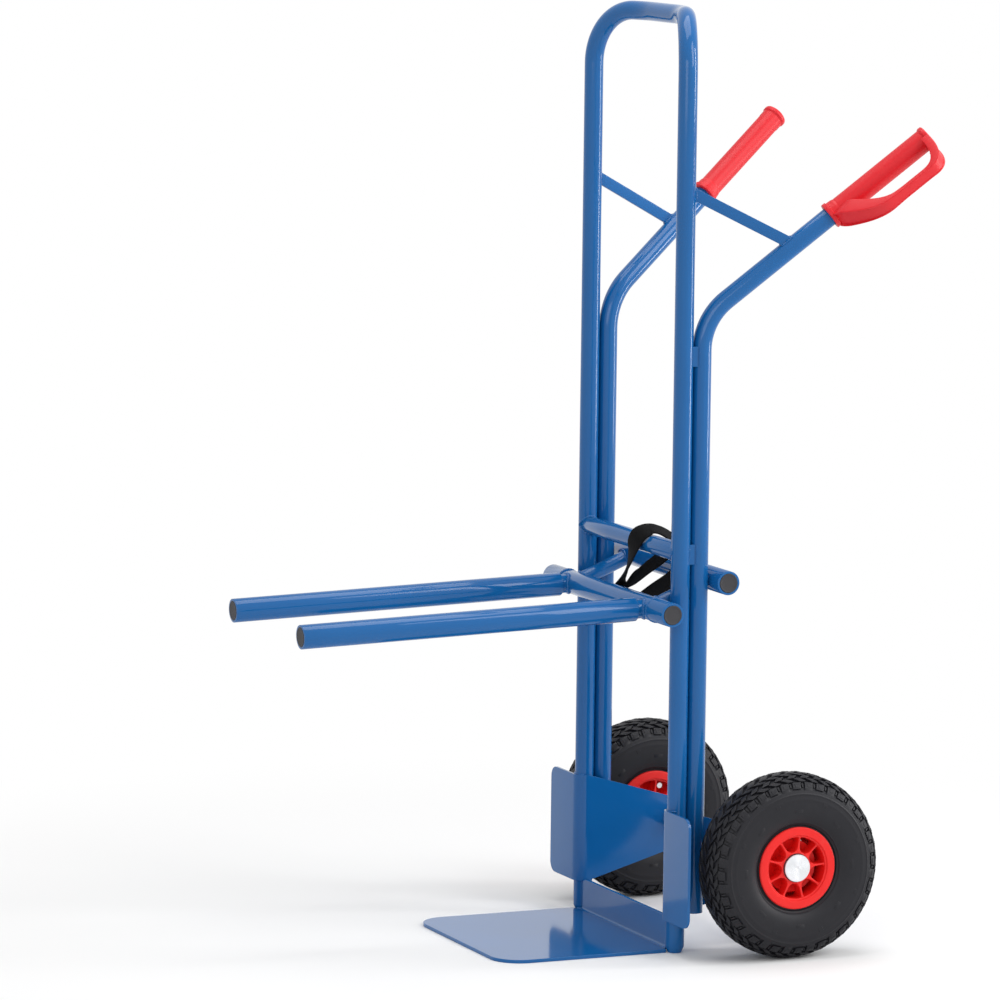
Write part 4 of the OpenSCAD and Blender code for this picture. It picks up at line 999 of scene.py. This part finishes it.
slot_w, slot_h, wall = BAND_W + 0.4, BAND_T + PLY + 0.4, 1.8
edge_steps = [(wall, 4.3, 2.1), (wall * 0.75, 4.85, 1.8), (wall * 0.4, 5, 1.3), (wall * 0.12, 4.7, 0.7),
              (0, 4.2, 0.5)]
back_steps = [(out, -along, corner) for out, along, corner in reversed(edge_steps)]
steps = back_steps[-1:] + edge_steps + back_steps[:-1]
rings = [keeper_ring(slot_w + 2 * out, slot_h + 2 * out, corner, along) for out, along, corner in steps]
new_piece("keeper_loop", *loft(rings, True), "frame", "zinc_steel", ["strap_keeper"])

# ---- camera, light and floor ----

camera = bpy.data.objects.new("camera", bpy.data.cameras.new("camera"))
bpy.context.scene.collection.objects.link(camera)
right, up = (0.394763, 0.918708, 0.01177), (-0.122314, 0.039852, 0.991691)
behind, stand = (0.910605, -0.392922, 0.128103), (7.53725, -3.43887, 1.68928)
camera.matrix_world = Matrix((*zip(right, up, behind, stand), (0, 0, 0, 1)))
camera.data.lens, camera.data.sensor_width = 212.53, 36
camera.data.clip_end = 200
bpy.context.scene.camera = camera
bpy.context.scene.view_settings.view_transform = "Standard"


def floor_material():
    """Pale and matt near the truck, where it takes the shadow, and plain white farther away."""
    material, g = new_material("pale_floor")
    away = g.add("ShaderNodeVectorMath", {"operation": "LENGTH"}, [g.place()], "Value")
    seen = g.add("ShaderNodeLightPath", out="Is Camera Ray")
    glossy = g.add("ShaderNodeLightPath", out="Is Glossy Ray")
    far = away.between(0.5, 1.5) * (seen + glossy).clamped()
    shade = g.add("ShaderNodeBsdfPrincipled", {}, {"Base Color": (0.90, 0.90, 0.90), "Roughness": 0.9,
                                                   "Specular IOR Level": 0.1})
    white = g.add("ShaderNodeEmission", {}, {"Color": (1, 1, 1), "Strength": 1.0})
    g.add("ShaderNodeOutputMaterial", {}, {"Surface": g.add("ShaderNodeMixShader", {}, [far, shade, white])})
    return material


FLOOR_HALF = 60
mesh = bpy.data.meshes.new("floor")
mesh.from_pydata([(x * FLOOR_HALF, y * FLOOR_HALF, 0) for x, y in ((-1, -1), (1, -1), (1, 1), (-1, 1))],
                 [], [(0, 1, 2, 3)])
mesh.materials.append(floor_material())
floor = bpy.data.objects.new("floor", mesh)
bpy.context.scene.collection.objects.link(floor)

world = bpy.data.worlds.new("studio")
bpy.context.scene.world = world
g = Graph(world)
seen = g.add("ShaderNodeLightPath", out="Is Camera Ray")
for way in ("Is Transmission Ray", "Is Glossy Ray"):
    seen = seen + g.add("ShaderNodeLightPath", out=way)
background = g.add("ShaderNodeBackground", {}, {"Color": (1, 1, 1), "Strength": seen.clamped() * 0.45 + 0.55})
g.add("ShaderNodeOutputWorld", {}, {"Surface": background})


def softbox(name, place, aim, size, power):
    """A white rectangular lamp, which faces the point aimed at."""
    lamp = bpy.data.lights.new(name, "AREA")
    lamp.shape, lamp.size, lamp.size_y, lamp.energy = "RECTANGLE", *size, power
    holder = bpy.data.objects.new(name, lamp)
    bpy.context.scene.collection.objects.link(holder)
    holder.location = place
    holder.rotation_euler = (Vector(aim) - Vector(place)).to_track_quat("-Z", "Y").to_euler()


softbox("key", place=(2.6, 1.9, 2.8), aim=(0, 0, 0.6), size=(1.4, 2.2), power=45)
softbox("strip", place=(1.2, 3.4, 1.3), aim=(0, 0, 0.7), size=(0.6, 2.8), power=60)
softbox("fill", place=(3.2, -2.6, 1.9), aim=(0, 0, 0.6), size=(2.0, 2.0), power=26)
softbox("top", place=(0, 0, 4.0), aim=(0, 0, 0), size=(2.5, 2.5), power=60)
